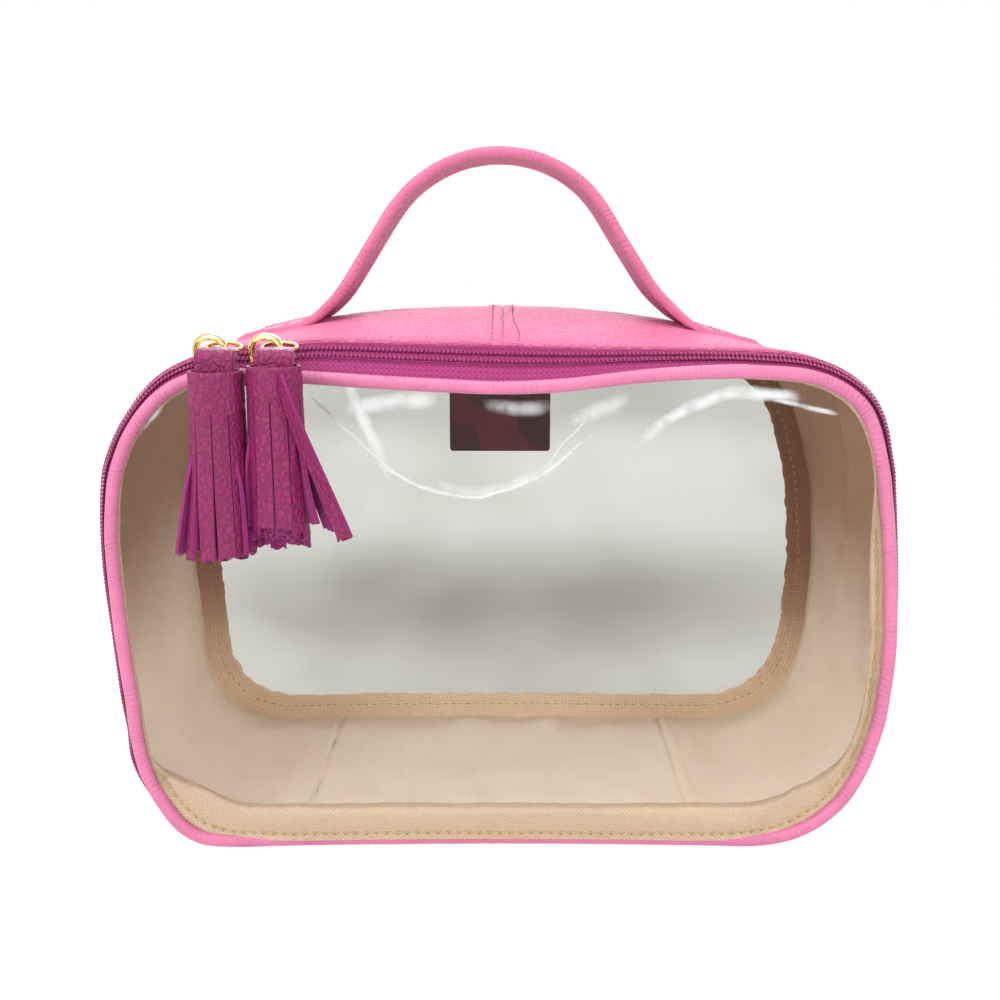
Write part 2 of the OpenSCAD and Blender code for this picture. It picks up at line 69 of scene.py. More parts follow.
def span(node, axis):
    """The lowest and highest place of a CAD node along one axis, in millimetres."""
    low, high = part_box(node)
    return low[axis] / MM, high[axis] / MM


def middle(node, axis):
    """The middle of a CAD node along one axis, in millimetres."""
    return sum(span(node, axis)) / 2


# ---- sizes and colours that a user would change ----


def length(label, about, default):
    return bpy.props.FloatProperty(
        name=label, description=about, default=default, min=0, unit="LENGTH", precision=4)


def colour(label, about, default):
    return bpy.props.FloatVectorProperty(
        name=label, description=about, default=default, size=3, min=0, max=1, subtype="COLOR")


class CaseSizes(bpy.types.PropertyGroup):
    width: length("Width", "Width over the leather band", 2 * BAND_HIGH.x)
    height: length("Height", "Height of the leather band", FRONT_HIGH.z + MM)
    depth: length("Depth", "Depth over both pipings",
                  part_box("back_piping")[1].y - FRONT_LOW.y)
    piping: length("Piping", "Diameter of the piping", 3.85 * MM)
    top_corner: length("Top corner", "Outer radius of the top corners", 36 * MM)
    bottom_corner: length("Bottom corner", "Outer radius of the bottom corners", 46 * MM)
    front_sag: length("Front sag", "How far the front's top edge hangs", 5 * MM)
    crown: length("Crown", "How far the top stands up in its middle", 12.7 * MM)
    tooth_pitch: length("Tooth pitch", "Distance between the zipper's teeth", 1.25 * MM)
    stitch_pitch: length("Stitch pitch", "Distance between stitches", 3.1 * MM)


class TasselSizes(bpy.types.PropertyGroup):
    across: length("Across", "Diameter of a tassel's cap", 15.2 * MM)
    cap: length("Cap", "Height of the uncut cap", 11.3 * MM)
    strip: length("Strip", "Thickness of the leather strips", 1.1 * MM)
    strips: bpy.props.IntProperty(
        name="Strips", description="Strips round the outer turn", default=10, min=6, max=14)


class HandleSizes(bpy.types.PropertyGroup):
    width: length("Width", "Width of the strap", HANDLE_HIGH.y - HANDLE_LOW.y)
    top: length("Top", "Height of the handle's top", HANDLE_HIGH.z)
    edge: length("Rolled edge", "Diameter of the rolled edges", 4 * MM)
    web: length("Web", "Thickness between the rolled edges", 2.2 * MM)


class CaseColours(bpy.types.PropertyGroup):
    pink: colour("Leather", "Leather of the band and handle", (0.70, 0.172, 0.33))
    piping: colour("Piping", "Leather of the piping", (0.60, 0.168, 0.313))
    magenta: colour("Tassel leather", "Grain side of the tassels", (0.255, 0.009, 0.098))
    suede: colour("Suede", "Cut edges and flesh side of the tassels", (0.24, 0.019, 0.13))
    tape: colour("Zipper tape", "Knitted tape of the zipper", (0.32, 0.034, 0.15))
    coil: colour("Zipper coil", "Teeth of the zipper", (0.275, 0.026, 0.118))
    cloth: colour("Lining", "Lining cloth", (0.985, 0.80, 0.67))
    binding: colour("Binding", "Bias binding", (0.58, 0.43, 0.305))
    thread: colour("Thread", "Thread of the binding", (0.46, 0.35, 0.10))
    gold: colour("Hardware", "Sliders and rings", (0.84, 0.67, 0.31))
    label: colour("Label", "Leather patch on the back window", (0.25, 0.018, 0.04))


# ---- materials ----


class Wire:
    """A value in a material, with arithmetic that adds Math nodes."""

    def __init__(self, finish, socket):
        self.finish = finish
        self.socket = socket

    def _math(self, operation, first, second=None):
        values = {0: first}
        if second is not None:
            values[1] = second
        return self.finish.add("ShaderNodeMath", {"operation": operation}, values)

    def __add__(self, other):
        return self._math("ADD", self, other)

    def __radd__(self, other):
        return self._math("ADD", other, self)

    def __sub__(self, other):
        return self._math("SUBTRACT", self, other)

    def __rsub__(self, other):
        return self._math("SUBTRACT", other, self)

    def __mul__(self, other):
        return self._math("MULTIPLY", self, other)

    def __rmul__(self, other):
        return self._math("MULTIPLY", other, self)

    def __pow__(self, other):
        return self._math("POWER", self, other)

    def abs(self):
        return self._math("ABSOLUTE", self)

    def wave(self):
        return self._math("SINE", self)

    def fraction(self):
        return self._math("FRACT", self)

    def most(self, other):
        return self._math("MAXIMUM", self, other)

    def rise(self, low, high):
        """0 below low, 1 above high and a smooth step between them."""
        return self.finish.add(
            "ShaderNodeMapRange", {"interpolation_type": "SMOOTHSTEP"},
            {"Value": self, "From Min": low, "From Max": high})


class Finish:
    """A material while its nodes are being laid out."""

    def __init__(self, name):
        self.material = bpy.data.materials.new(name)
        self.material.use_nodes = True
        self.tree = self.material.node_tree
        self.tree.nodes.clear()

    def add(self, kind, settings=None, values=None, out=0):
        node = self.tree.nodes.new(kind)
        for key, value in (settings or {}).items():
            setattr(node, key, value)
        for key, value in (values or {}).items():
            if isinstance(value, Wire):
                self.tree.links.new(value.socket, node.inputs[key])
            else:
                node.inputs[key].default_value = value
        return Wire(self, node.outputs[out]) if node.outputs else None

    def place(self):
        return self.add("ShaderNodeTexCoord", out="Object")

    def noise(self, size, detail=2, vector=None, out="Fac"):
        """Soft noise whose blotches are about size millimetres across."""
        return self.add("ShaderNodeTexNoise", None, {
            "Vector": vector or self.place(), "Scale": 1 / (size * MM), "Detail": detail}, out)

    def jitter(self, vector, size, amount):
        """Pushes a place about by up to amount millimetres."""
        drift = self.noise(size, 1, vector, "Color")
        centred = self.add(
            "ShaderNodeVectorMath", {"operation": "SUBTRACT"}, {0: drift, 1: (0.5, 0.5, 0.5)})
        scaled = self.add("ShaderNodeVectorMath", {"operation": "SCALE"},
                          {0: centred, "Scale": 2 * amount * MM})
        return self.add("ShaderNodeVectorMath", {"operation": "ADD"}, {0: vector, 1: scaled})

    def mix(self, factor, low, high):
        """The colour low where factor is 0 and high where it is 1."""
        return self.add("ShaderNodeMix", {"data_type": "RGBA"},
                        {0: factor, 6: solid(low), 7: solid(high)}, 2)

    def parts(self, vector):
        """The three parts of a vector."""
        split = self.tree.nodes.new("ShaderNodeSeparateXYZ")
        self.tree.links.new(vector.socket, split.inputs[0])
        return [Wire(self, part) for part in split.outputs]

    def stretched(self, vector, along):
        """A place whose pattern is drawn out along X, Y and Z by these proportions."""
        return self.add("ShaderNodeVectorMath", {"operation": "DIVIDE"}, {0: vector, 1: along})

    def along(self):
        """Distance along and across a swept piece, in centimetres, from its UV map."""
        return self.parts(self.add("ShaderNodeUVMap", {"uv_map": "Sweep"}))[:2]

    def bump(self, height, depth):
        """A normal from a height of 0 to 1 that stands for depth millimetres."""
        return self.add("ShaderNodeBump", None, {
            "Height": height, "Distance": depth * MM, "Strength": 1.0}, "Normal")

    def surface(self, **values):
        shader = self.add("ShaderNodeBsdfPrincipled", None, {
            key.replace("_", " "): value for key, value in values.items()})
        self.add("ShaderNodeOutputMaterial", None, {"Surface": shader})
        return self.material


def solid(value):
    """A colour with its alpha, or a wire as it is."""
    return value if isinstance(value, Wire) else (*value[:3], 1.0)


def shade(tint, amount):
    """A colour made darker or lighter in proportion."""
    return tuple(min(1.0, part * amount) for part in tint[:3])


def grained_leather(name, tint, cell, depth, dull, drawn=(1, 1, 1), valley=0.78, shine=0.5):
    """Tumbled leather: pebbles of cell millimetres with fine pores, and painted shade that darkens
    the valleys.
    """
    f = Finish(name)
    place = f.jitter(f.stretched(f.place(), drawn), cell * 2.4, cell * 0.4)
    pebble = f.add("ShaderNodeTexVoronoi", {"feature": "DISTANCE_TO_EDGE"},
                   {"Vector": place, "Scale": 1 / (cell * MM)}, "Distance").rise(0.0, 0.26)
    small = f.add("ShaderNodeTexVoronoi", {"feature": "DISTANCE_TO_EDGE"},
                  {"Vector": place, "Scale": 1 / (cell * 0.45 * MM)}, "Distance").rise(0.0, 0.3)
    pores = f.noise(0.3, 2)
    height = pebble * 0.7 + small * 0.16 + pores * 0.14
    blotch = f.noise(22, 2).rise(0.35, 0.65)
    lit = f.mix(blotch, shade(tint, 0.92), shade(tint, 1.08))
    # Painted shade: the colour falls to valley times the tint between the pebbles.
    base = f.mix(pebble * 0.75 + small * 0.25, shade(tint, valley), lit)
    return f.surface(Base_Color=base, Roughness=dull + (1 - pebble) * 0.14 + pores * 0.06,
                     Specular_IOR_Level=shine, Normal=f.bump(height, depth))


def creased_leather(name, tint, depth, dull):
    """Smooth glazed leather pulled round a cord, with fine creases across it that are darkened with
    painted shade.
    """
    f = Finish(name)
    run, turn = f.along()
    wander = f.noise(5, 2)
    crease = ((run * 36 + wander * 12 + turn * 2.2).wave() * 0.5 + 0.5) ** 2.5
    where = f.noise(7, 2).rise(0.38, 0.62)
    pores = f.noise(0.35, 2)
    height = (1 - crease * where) * 0.8 + pores * 0.2
    blotch = f.noise(17, 2).rise(0.35, 0.65)
    # Painted shade: the creases are drawn darker in colour as well as in the bump.
    base = f.mix(crease * where * 0.3, f.mix(blotch, shade(tint, 0.95), shade(tint, 1.05)),
                 shade(tint, 0.86))
    return f.surface(Base_Color=base, Roughness=dull + pores * 0.1, Specular_IOR_Level=0.4,
                     Normal=f.bump(height, depth))


def suede(name, tint):
    """Napped flesh side and cut edge of leather."""
    f = Finish(name)
    nap = f.noise(0.35, 4)
    blotch = f.noise(3.5, 2)
    return f.surface(Base_Color=f.mix(nap * 0.6 + blotch * 0.4, shade(tint, 0.6), shade(tint, 1.45)),
                     Roughness=0.86 + nap * 0.1, Specular_IOR_Level=0.2, Sheen_Weight=0.1,
                     Normal=f.bump(nap, 0.16))


def knitted_tape(name, tint):
    """Warp-knitted tape: columns of small V-shaped stitches."""
    f = Finish(name)
    run, turn = f.along()
    lean = ((turn * 5.4).fraction() - 0.5).abs()
    stitch = (run * 40 + lean * 9).wave() * 0.5 + 0.5
    column = (lean * 2).rise(0.0, 0.35)
    fuzz = f.noise(0.2, 3)
    height = stitch * 0.5 + column * 0.3 + fuzz * 0.2
    base = f.mix(height, shade(tint, 0.5), shade(tint, 1.25))
    return f.surface(Base_Color=base, Roughness=0.66 + fuzz * 0.2, Specular_IOR_Level=0.25,
                     Normal=f.bump(height, 0.34))


def moulded_teeth(name, tint):
    """Drawn polyester of the coil: smooth and slightly waxy, with dye streaks."""
    f = Finish(name)
    streak = f.noise(1.6, 2)
    return f.surface(Base_Color=f.mix(streak, shade(tint, 0.7), shade(tint, 1.35)),
                     Roughness=0.36 + streak * 0.12, Specular_IOR_Level=0.4,
                     Normal=f.bump(f.noise(0.4, 2), 0.04))


def woven_cloth(name, tint, pitch, depth, slant=0.0, show=0.35, dim=1.0, reach=(25, 115)):
    """Woven cloth with threads pitch millimetres apart, turned by slant, and darker with height:
    painted shade.
    """
    f = Finish(name)
    run, turn = f.along()
    step = 2 * math.pi * 10 / pitch
    wander = f.noise(2.5, 2) * 0.7
    warp = ((run * (step * math.cos(slant)) + turn * (step * math.sin(slant))) + wander).wave()
    weft = ((turn * (step * math.cos(slant)) - run * (step * math.sin(slant))) + wander).wave()
    weave = (warp * 0.5 + 0.5).most(weft * 0.5 + 0.5)
    slub = f.noise(0.9, 3)
    crumple = f.noise(18, 4)
    height = weave * 0.6 + slub * 0.4
    base = f.mix(weave * show + slub * 0.25 + crumple * (0.75 - show), shade(tint, 0.78),
                 shade(tint, 1.12))
    # Painted shade: below a dim of 1 the colour is darkened and browned towards the top, between the
    # heights in reach.
    if dim < 1:
        top_shade_tint = (dim ** 0.7, dim, dim ** 1.25)
        _, _, z = f.parts(f.jitter(f.place(), 40, 9))
        base = f.add("ShaderNodeMix", {"data_type": "RGBA", "blend_type": "MULTIPLY"},
                     {0: z.rise(reach[0] * MM, reach[1] * MM), 6: base, 7: solid(top_shade_tint)}, 2)
    return f.surface(Base_Color=base, Roughness=0.85 + slub * 0.1, Specular_IOR_Level=0.2,
                     Normal=f.bump(height + crumple * 2.2, depth))


# Painted highlights on the front film, lines where its reflection is made stronger: the middle (x,
# z), the slope and the bend of the line, where it starts and ends in x, its half width and its
# strength; all in millimetres
FRONT_PAINTED_GLINTS = (
    (-8, 112.6, 0.02, 0.0145, -34, 25, 0.8, 0.85),
    (-6, 114.0, 0.02, 0.0150, -18, 18, 2.6, 0.3),
    (-40, 128.5, -0.89, 0.0, -52, -28, 0.8, 0.65),
    (-37, 131, -2.1, 0.0, -42.5, -33.5, 5.5, 0.9),
    (-30, 139.5, 0.12, 0.0, -42, -19, 3.2, 0.7),
    (28, 137.5, 0.3, 0.0, 22, 36, 3.4, 0.55),
    (74, 142.6, 0.0, -0.0125, 42, 84, 2.6, 0.85),
    (4, 138.0, 0.0, 0.01, -3, 13, 2.6, 0.42),
    (20, 129, 1.2, 0.0, 12, 27, 1.0, 0.45),
    (-103, 133, 0.9, 0.0, -110, -97, 2.2, 0.6),
    (86, 139, -0.25, 0.0, 78, 96, 1.1, 0.8),
)


def painted_glints(f, places):
    """How strongly the painted highlights listed in places shine, from 0 to 1."""
    x, _, z = f.parts(f.jitter(f.place(), 14, 1.6))
    # Noise breaks the painted highlights into patches.
    glint_breakup = f.noise(5, 2).rise(0.25, 0.6) * 0.7 + 0.3
    most = None
    for x0, z0, slope, bend, start, end, half, strength in places:
        aside = x - x0 * MM
        off = (z - (aside * slope + aside * aside * (bend / MM) + z0 * MM)).abs()
        fade = x.rise((start - 3) * MM, (start + 4) * MM)
        fade = fade * (1 - x.rise((end - 4) * MM, (end + 3) * MM))
        line = (1 - off.rise(0.0, half * MM)) * fade * glint_breakup * strength
        most = line if most is None else most.most(line)
    return most


def clear_film(name, light, dark, glow, places=()):
    """Clear flexible film: glossy, with painted shade in a darker band low down and painted
    highlights along the lines in places.
    """
    f = Finish(name)
    facing = f.add("ShaderNodeLayerWeight", None, {"Blend": 0.5}, "Facing")
    smear = f.noise(9, 2).rise(0.5, 0.85)
    skin = f.add("ShaderNodeBsdfPrincipled", None, {
        "Base Color": (0.97, 0.98, 0.98, 1), "Metallic": 1.0, "Roughness": 0.2 + smear * 0.05,
        "Normal": f.bump(f.noise(26, 1), 0.6)}, "BSDF")
    x, _, z = f.parts(f.jitter(f.place(), 34, 5))
    # Painted shade: the darker see-through colour is mixed in low down, away from the left edge, and
    # in soft streaks.
    low = 1 - (z - 51 * MM).abs().rise(0.0, 34 * MM)
    inside = x.rise(-150 * MM, -40 * MM) * (1 - x.rise(60 * MM, 112 * MM) * 0.4)
    streaks = f.noise(34, 1, f.stretched(f.place(), (1.6, 1, 1))).rise(0.35, 0.75)
    painted_shade_mask = (low * inside * 0.58 + streaks * 0.2).most(0.0)
    clear = f.add("ShaderNodeBsdfTransparent", None, {"Color": (*light, 1)})
    dim = f.add("ShaderNodeBsdfTransparent", None, {"Color": (*dark, 1)})
    through = f.add("ShaderNodeMixShader", None, {0: painted_shade_mask, 1: clear, 2: dim})
    share = facing ** 5 * 0.4 + glow
    # Painted highlights raise the film's reflection along the listed lines.
    if places:
        share = share.most(painted_glints(f, places))
    film = f.add("ShaderNodeMixShader", None, {0: share, 1: through, 2: skin})
    f.add("ShaderNodeOutputMaterial", None, {"Surface": film})
    return f.material


def polished_gold(name, tint):
    """Polished plated metal with faint rubbing marks."""
    f = Finish(name)
    rub = f.noise(2.2, 3)
    return f.surface(Base_Color=f.mix(rub, shade(tint, 0.88), shade(tint, 1.08)), Metallic=1.0,
                     Roughness=0.1 + rub * 0.07, Normal=f.bump(f.noise(0.8, 2), 0.012))


def spun_thread(name, tint):
    """Twisted sewing thread."""
    f = Finish(name)
    twist = f.noise(0.3, 2)
    return f.surface(Base_Color=f.mix(twist, shade(tint, 0.65), shade(tint, 1.25)),
                     Roughness=0.6 + twist * 0.2, Normal=f.bump(twist, 0.08))


FINISHES = {}


def finish(name):
    """The material called name, made once from the colours in force."""
    if name in FINISHES:
        return FINISHES[name]
    c = bpy.context.scene.case_colours
    recipes = {
        "pink_leather": lambda n: grained_leather(n, c.pink, 1.4, 0.24, 0.58, (1.9, 1, 1),
                                                  shine=0.22),
        # The handle and its rolled edges use the band's leather drawn darker: painted shade.
        "handle_leather": lambda n: grained_leather(n, shade(c.pink, 0.76), 1.1, 0.2, 0.48),
        "rolled_leather": lambda n: creased_leather(n, shade(c.pink, 0.82), 0.2, 0.42),
        "piping_leather": lambda n: creased_leather(n, c.piping, 0.2, 0.36),
        "tassel_leather": lambda n: grained_leather(n, c.magenta, 1.8, 0.26, 0.38, (1, 1, 1.35),
                                                    0.66, 0.4),
        "tassel_suede": lambda n: suede(n, c.suede),
        "label_leather": lambda n: grained_leather(n, c.label, 1.2, 0.1, 0.65, shine=0.2),
        "zipper_tape": lambda n: knitted_tape(n, c.tape),
        "zipper_coil": lambda n: moulded_teeth(n, c.coil),
        # The lining's dim and reach paint shade that darkens it towards the top.
        "lining_cloth": lambda n: woven_cloth(n, c.cloth, 0.9, 0.2, dim=0.27, reach=(22, 108)),
        "bias_binding": lambda n: woven_cloth(n, c.binding, 0.95, 0.3, math.radians(45), 0.6),
        # Back binding: the binding colour drawn 1.62 times lighter, painted light, and darkened
        # towards the top, painted shade.
        "worn_binding": lambda n: woven_cloth(n, shade(c.binding, 1.62), 1.4, 0.4, dim=0.18,
                                              reach=(10, 70)),
        "stiffener": lambda n: woven_cloth(n, (0.8, 0.8, 0.78), 0.8, 0.1),
        "front_film": lambda n: clear_film(n, (0.975, 0.975, 0.97), (0.95, 0.945, 0.93), 0.012,
                                            FRONT_PAINTED_GLINTS),
        # The back film's grey and darker see-through colours are painted shade of what lies behind
        # it.
        "back_film": lambda n: clear_film(n, (0.765, 0.765, 0.745), (0.46, 0.45, 0.405), 0.01),
        "gold_metal": lambda n: polished_gold(n, c.gold),
        "binding_thread": lambda n: spun_thread(n, c.thread),
        "dark_thread": lambda n: spun_thread(n, (0.26, 0.055, 0.09)),
        "pink_thread": lambda n: spun_thread(n, shade(c.pink, 0.7)),
        "pale_thread": lambda n: spun_thread(n, (0.62, 0.36, 0.36)),
        "cotton_cord": lambda n: spun_thread(n, (0.8, 0.76, 0.68)),
    }
    FINISHES[name] = recipes[name](name)
    return FINISHES[name]


# ---- shapes ----


def ease(t):
    """A smooth step from 0 to 1."""
    t = min(max(t, 0.0), 1.0)
    return t * t * (3 - 2 * t)


def curve_through(t, places):
    """A value read off a list of (place, value), on a smooth curve through all of them."""
    if t <= places[0][0]:
        return places[0][1]
    if t >= places[-1][0]:
        return places[-1][1]
    k = next(i for i, (place, _) in enumerate(places) if t <= place)
    (a, low), (b, high) = places[k - 1], places[k]
    before, after = places[max(0, k - 2)], places[min(len(places) - 1, k + 1)]
    slope_in = (high - before[1]) / (b - before[0]) * (b - a)
    slope_out = (after[1] - low) / (after[0] - a) * (b - a)
    n = (t - a) / (b - a)
    return (low + slope_in * n + (3 * (high - low) - 2 * slope_in - slope_out) * n ** 2
            + (2 * (low - high) + slope_in + slope_out) * n ** 3)


def soft_noise(x, y, z, size):
    """Seamless noise from about -1 to 1 whose lumps are size millimetres across."""
    return noise.noise(Vector((x, y, z)) / size)


# Leather's front edge, the coils' middle and the slope of the zipper between them
EDGE_V = 37.6
CHAIN_V = 41.6
CHAIN_U = 1.031
LEAN = math.radians(10.886)
# How far the piping's middle lies below its top
PIPING_MIDDLE = 2
# Height of the leather under the handle's feet, before it settles
SEAT_Z = 151.1
# Where the band's two seams stand in x: at the bottom and at the top
BOTTOM_SEAM = 4.0
TOP_SEAM = 1.0
# How far each side has moved outward by height: at the front piping, at the coils and at the back
FRONT_OUT = {
    -1: ((3, 3.0), (9, 1.5), (16, -0.9), (25, -3.0), (35, -5.0), (46, -5.6), (62, -4.3), (81, -3.2),
         (99, -2.9), (111, -3.9), (124, -5.8), (133, -6.1), (142, -5.2), (149, -3.0)),
    1: ((3, 0.8), (16, 0.0), (25, -1.3), (35, -2.0), (46, -1.2), (60, -0.2), (72, -0.3), (93, -2.0),
        (105, -3.5), (116, -5.2), (125, -6.0), (133, -5.0), (142, -2.3), (149, -0.5)),
}
CHAIN_OUT = {
    -1: ((3, 4.0), (9, 5.0), (16, 4.1), (25, 2.1), (37, -1.4), (50, -0.9), (66, 0.0), (88, 1.3),
         (104, 1.0), (116, -0.2), (127, -2.2), (138, -3.1), (149, -1.5)),
    1: ((3, 1.0), (9, 3.0), (16, 4.2), (25, 3.0), (35, 2.0), (56, 2.6), (78, 2.3), (97, 0.8),
        (116, -1.1), (124, -1.8), (132, -0.8), (142, 1.0), (149, 1.5)),
}
BACK_OUT = {
    -1: ((0, 3.5), (13, 4.5), (26, 2.2), (40, -1.4), (66, -0.4), (95, 0.6), (118, -0.8), (150, 0)),
    1: ((0, 4), (13, 5), (26, 3), (40, 1.3), (66, 2.2), (92, 0.4), (118, -2.4), (150, -1)),
}
# How far the leather's front edge stands up along X, and how far the front piping hangs
EDGE_UP = ((-112, 0.1), (-95, 0.9), (-78, 2.9), (-67, 3.6), (-53, 5.2), (-30, 4.9), (0, 4.2),
           (29, 3.3), (53, 2.8), (76, 2.1), (92, 0.9), (108, 0.2))
FRONT_SAG = ((-116, 0.5), (-92, 0.42), (-80, 0.28), (-57, 0.4), (-37, 0.65), (-17, 0.87), (0, 1.0),
             (17, 0.87), (42, 0.32), (65, 0.08), (79, 0.18), (92, 0.34), (102, 0.34), (114, 0.1))


def outward(v, z, hand):
    """How far a point of one side, hand -1 or 1, has moved away from the middle."""
    chain = curve_through(z, CHAIN_OUT[hand])
    if v > CHAIN_V:
        return chain + (curve_through(z, FRONT_OUT[hand]) - chain) * (v - CHAIN_V) / (50 - CHAIN_V)
    return chain + (curve_through(z, BACK_OUT[hand]) - chain) * (CHAIN_V - v) / (50 + CHAIN_V)


def slump(x, y, z):
    """Where a point of the drawn case comes to rest once the soft leather has settled."""
    sizes = bpy.context.scene.case_sizes
    v = -y
    hand = 1 if x > 0 else -1
    edge = curve_through(x, EDGE_UP)
    if v >= EDGE_V:
        share = (v - EDGE_V) / 12.4
        sag = sizes.front_sag / MM * curve_through(x, FRONT_SAG)
        rise = edge * max(0, 1 - share) ** 0.8 - share * sag
    else:
        back = math.sin(math.pi / 2 * min(1, (EDGE_V - v) / 50))
        fall = 1 - 0.55 * ease((-12 - v) / 36)
        reach = 85.5 if x > 0 else 91
        hump = max(0, 1 - (abs(x) / reach) ** (2.6 if x > 0 else 3))
        hump += 0.05 * math.exp(-((x + 88) / 16) ** 2)
        rise = edge + (sizes.crown / MM * hump - edge) * back * fall
        pinch = 3.0 * ease((abs(x) - 82) / 14) * ease((z - 96) / 34) * ease((EDGE_V + 1 - v) / 16)
        x, z = x - hand * pinch * ease((abs(x) - 92) / 18), z - pinch
    side = ease((abs(x) - 55) / 45)
    belly = 1.0 * math.cos(v / 52 * math.pi / 2) * math.sin(math.pi * min(max(z / 152, 0), 1))
    floor = 1.3 * max(0, 1 - (x / 88) ** 2) * ease((34 - z) / 34)
    corner = (3.6 if x < 0 else 0.9) * ease((abs(x) - 70) / 30) * ease((24 - z) / 24)
    return Vector((
        x + side * hand * (outward(v, z, hand) + belly),
        y,
        z + rise * ease((z - 88) / 62) + floor - corner * min(1, max(0, z) / 6)))


def apron(x, z):
    """How far the front swells over its piping along the bottom."""
    return 1.9 * ease((100 - abs(x)) / 40) * ease((24 - z) / 16)


class Rim:
    """The rounded rectangle that both pipings follow, walked from the bottom's middle to +X."""

    def __init__(self):
        sizes = bpy.context.scene.case_sizes
        stand = 3.0
        half = sizes.width / MM / 2 - stand
        top = sizes.height / MM - stand
        upper = sizes.top_corner / MM - stand
        lower = sizes.bottom_corner / MM - stand
        self.piping_v = sizes.depth / MM / 2 - sizes.piping / MM / 2
        self.middle = (stand + top) / 2
        rows = [(half - lower, 0), (lower, 90), (top - stand - upper - lower, 0), (upper, 90),
                (2 * (half - upper), 0), (upper, 90), (top - stand - upper - lower, 0),
                (lower, 90), (half - lower, 0)]
        self.pieces = []
        x, z, heading, s = 0.0, stand, 0.0, 0.0
        for size, turn in rows:
            run = size * math.radians(turn) if turn else size
            self.pieces.append((s, x, z, heading, size if turn else 0))
            x, z, heading = self._step(x, z, heading, size if turn else 0, run)
            s += run
        self.total = s
        self.half_top = half - upper
        self.top_middle = s / 2
        self.zip_start = self.pieces[1][0] + lower * math.radians(40)
        self.zip_end = s - self.zip_start

    @staticmethod
    def _step(x, z, heading, radius, run):
        if not radius:
            return x + run * math.cos(heading), z + run * math.sin(heading), heading
        after = heading + run / radius
        return (x + radius * (math.sin(after) - math.sin(heading)),
                z + radius * (math.cos(heading) - math.cos(after)), after)

    def at(self, s):
        """Place and outward direction at a distance round the path."""
        s %= self.total
        for start, x, z, heading, radius in reversed(self.pieces):
            if s >= start:
                x, z, heading = self._step(x, z, heading, radius, s - start)
                return x, z, math.sin(heading), -math.cos(heading)

    def top_at(self, x):
        """Distance round the path of a place on the straight top."""
        return self.top_middle - x

    def walk(self, start, end, step=2.5, fine=0.0):
        """Distances from start to end, closer together within fine of both ends."""
        places = [start]
        while places[-1] < end - 1e-6:
            near = min(places[-1] - start, end - places[-1])
            places.append(min(places[-1] + (0.45 if near < fine else step), end))
        return places

    def point(self, s, u, v):
        """A point u out from the path and v forward of the middle, after settling."""
        x, z, nx, nz = self.at(s)
        return slump(x + nx * u, -v, z + nz * u)


def circle(centre, aside, upward, radius, sides):
    """Points round centre in the plane of two directions."""
    turns = [2 * math.pi * j / sides for j in range(sides)]
    return [centre + radius * (aside * math.cos(t) + upward * math.sin(t)) for t in turns]


def face_outward(mesh, weld=False):
    """Turns all faces outward; weld first joins points that fall on each other."""
    grown = bmesh.new()
    grown.from_mesh(mesh)
    if weld:
        bmesh.ops.remove_doubles(grown, verts=grown.verts, dist=0.02 * MM)
        bmesh.ops.dissolve_degenerate(grown, edges=grown.edges, dist=0.001 * MM)
    bmesh.ops.recalc_face_normals(grown, faces=grown.faces)
    grown.to_mesh(mesh)
    grown.free()


class Shell:
    """Points and faces of one piece, gathered in millimetres."""

    def __init__(self):
        self.points = []
        self.faces = []
        self.maps = []
        self.finishes = []

    def skin(self, rings, loop=False, caps=True, finish_of=None):
        """Joins equal closed rings into a skin; finish_of gives the slot of each ring's side."""
        base, count, width = len(self.points), len(rings), len(rings[0])
        around = [0.0]
        for j in range(width):
            around.append(around[-1] + (rings[0][j] - rings[0][(j + 1) % width]).length)
        along = [0.0]
        for i in range(count):
            along.append(along[-1] + (rings[i][0] - rings[(i + 1) % count][0]).length)
        for ring in rings:
            self.points.extend(ring)
        for i in range(count if loop else count - 1):
            low, high = base + i * width, base + (i + 1) % count * width
            for j in range(width):
                k = (j + 1) % width
                self.faces.append((low + j, low + k, high + k, high + j))
                self.maps.append([(along[i + a] / 10, around[j + b] / 10)
                                  for a, b in ((0, 0), (0, 1), (1, 1), (1, 0))])
                self.finishes.append(finish_of(j) if finish_of else 0)
        if caps and not loop:
            for row in (0, count - 1):
                self.faces.append(tuple(base + row * width + j for j in range(width)))
                self.maps.append([(0.0, 0.0)] * width)
                self.finishes.append(finish_of(-1) if finish_of else 0)

    def tube(self, path, radius, sides):
        """A round tube along a list of points."""
        rings = []
        for i, here in enumerate(path):
            after = path[min(i + 1, len(path) - 1)]
            before = path[max(i - 1, 0)]
            heading = (after - before).normalized()
            aside = heading.cross(Vector((0.02, 1, 0.01))).normalized()
            upward = aside.cross(heading)
            rings.append(circle(here, aside, upward, radius, sides))
        self.skin(rings)

    def piece(self, name, finishes, body, slot, nodes=(), ride=True):
        """Makes the object, with outward faces, and hangs it on its body."""
        mesh = bpy.data.meshes.new(name)
        mesh.from_pydata([point * MM for point in self.points], [], self.faces)
        layer = mesh.uv_layers.new(name="Sweep")
        flat = [place for face in self.maps for corner in face for place in corner]
        layer.data.foreach_set("uv", flat)
        mesh.polygons.foreach_set("material_index", self.finishes)
        for name_of in finishes:
            mesh.materials.append(finish(name_of))
        face_outward(mesh)
        return hang(mesh, name, body, slot, nodes, ride)


def hang(mesh, name, body, slot, nodes=(), ride=True, sharp=50):
    """Links a finished mesh, smooths it, hides the CAD nodes that it replaces and hangs it on its
    body when it rides.
    """
    mesh.shade_smooth()
    mesh.set_sharp_from_angle(angle=math.radians(sharp))
    made = bpy.data.objects.new(name, mesh)
    bpy.context.scene.collection.objects.link(made)
    if nodes:
        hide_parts(*nodes)
    if ride:
        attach(made, body)
    return made


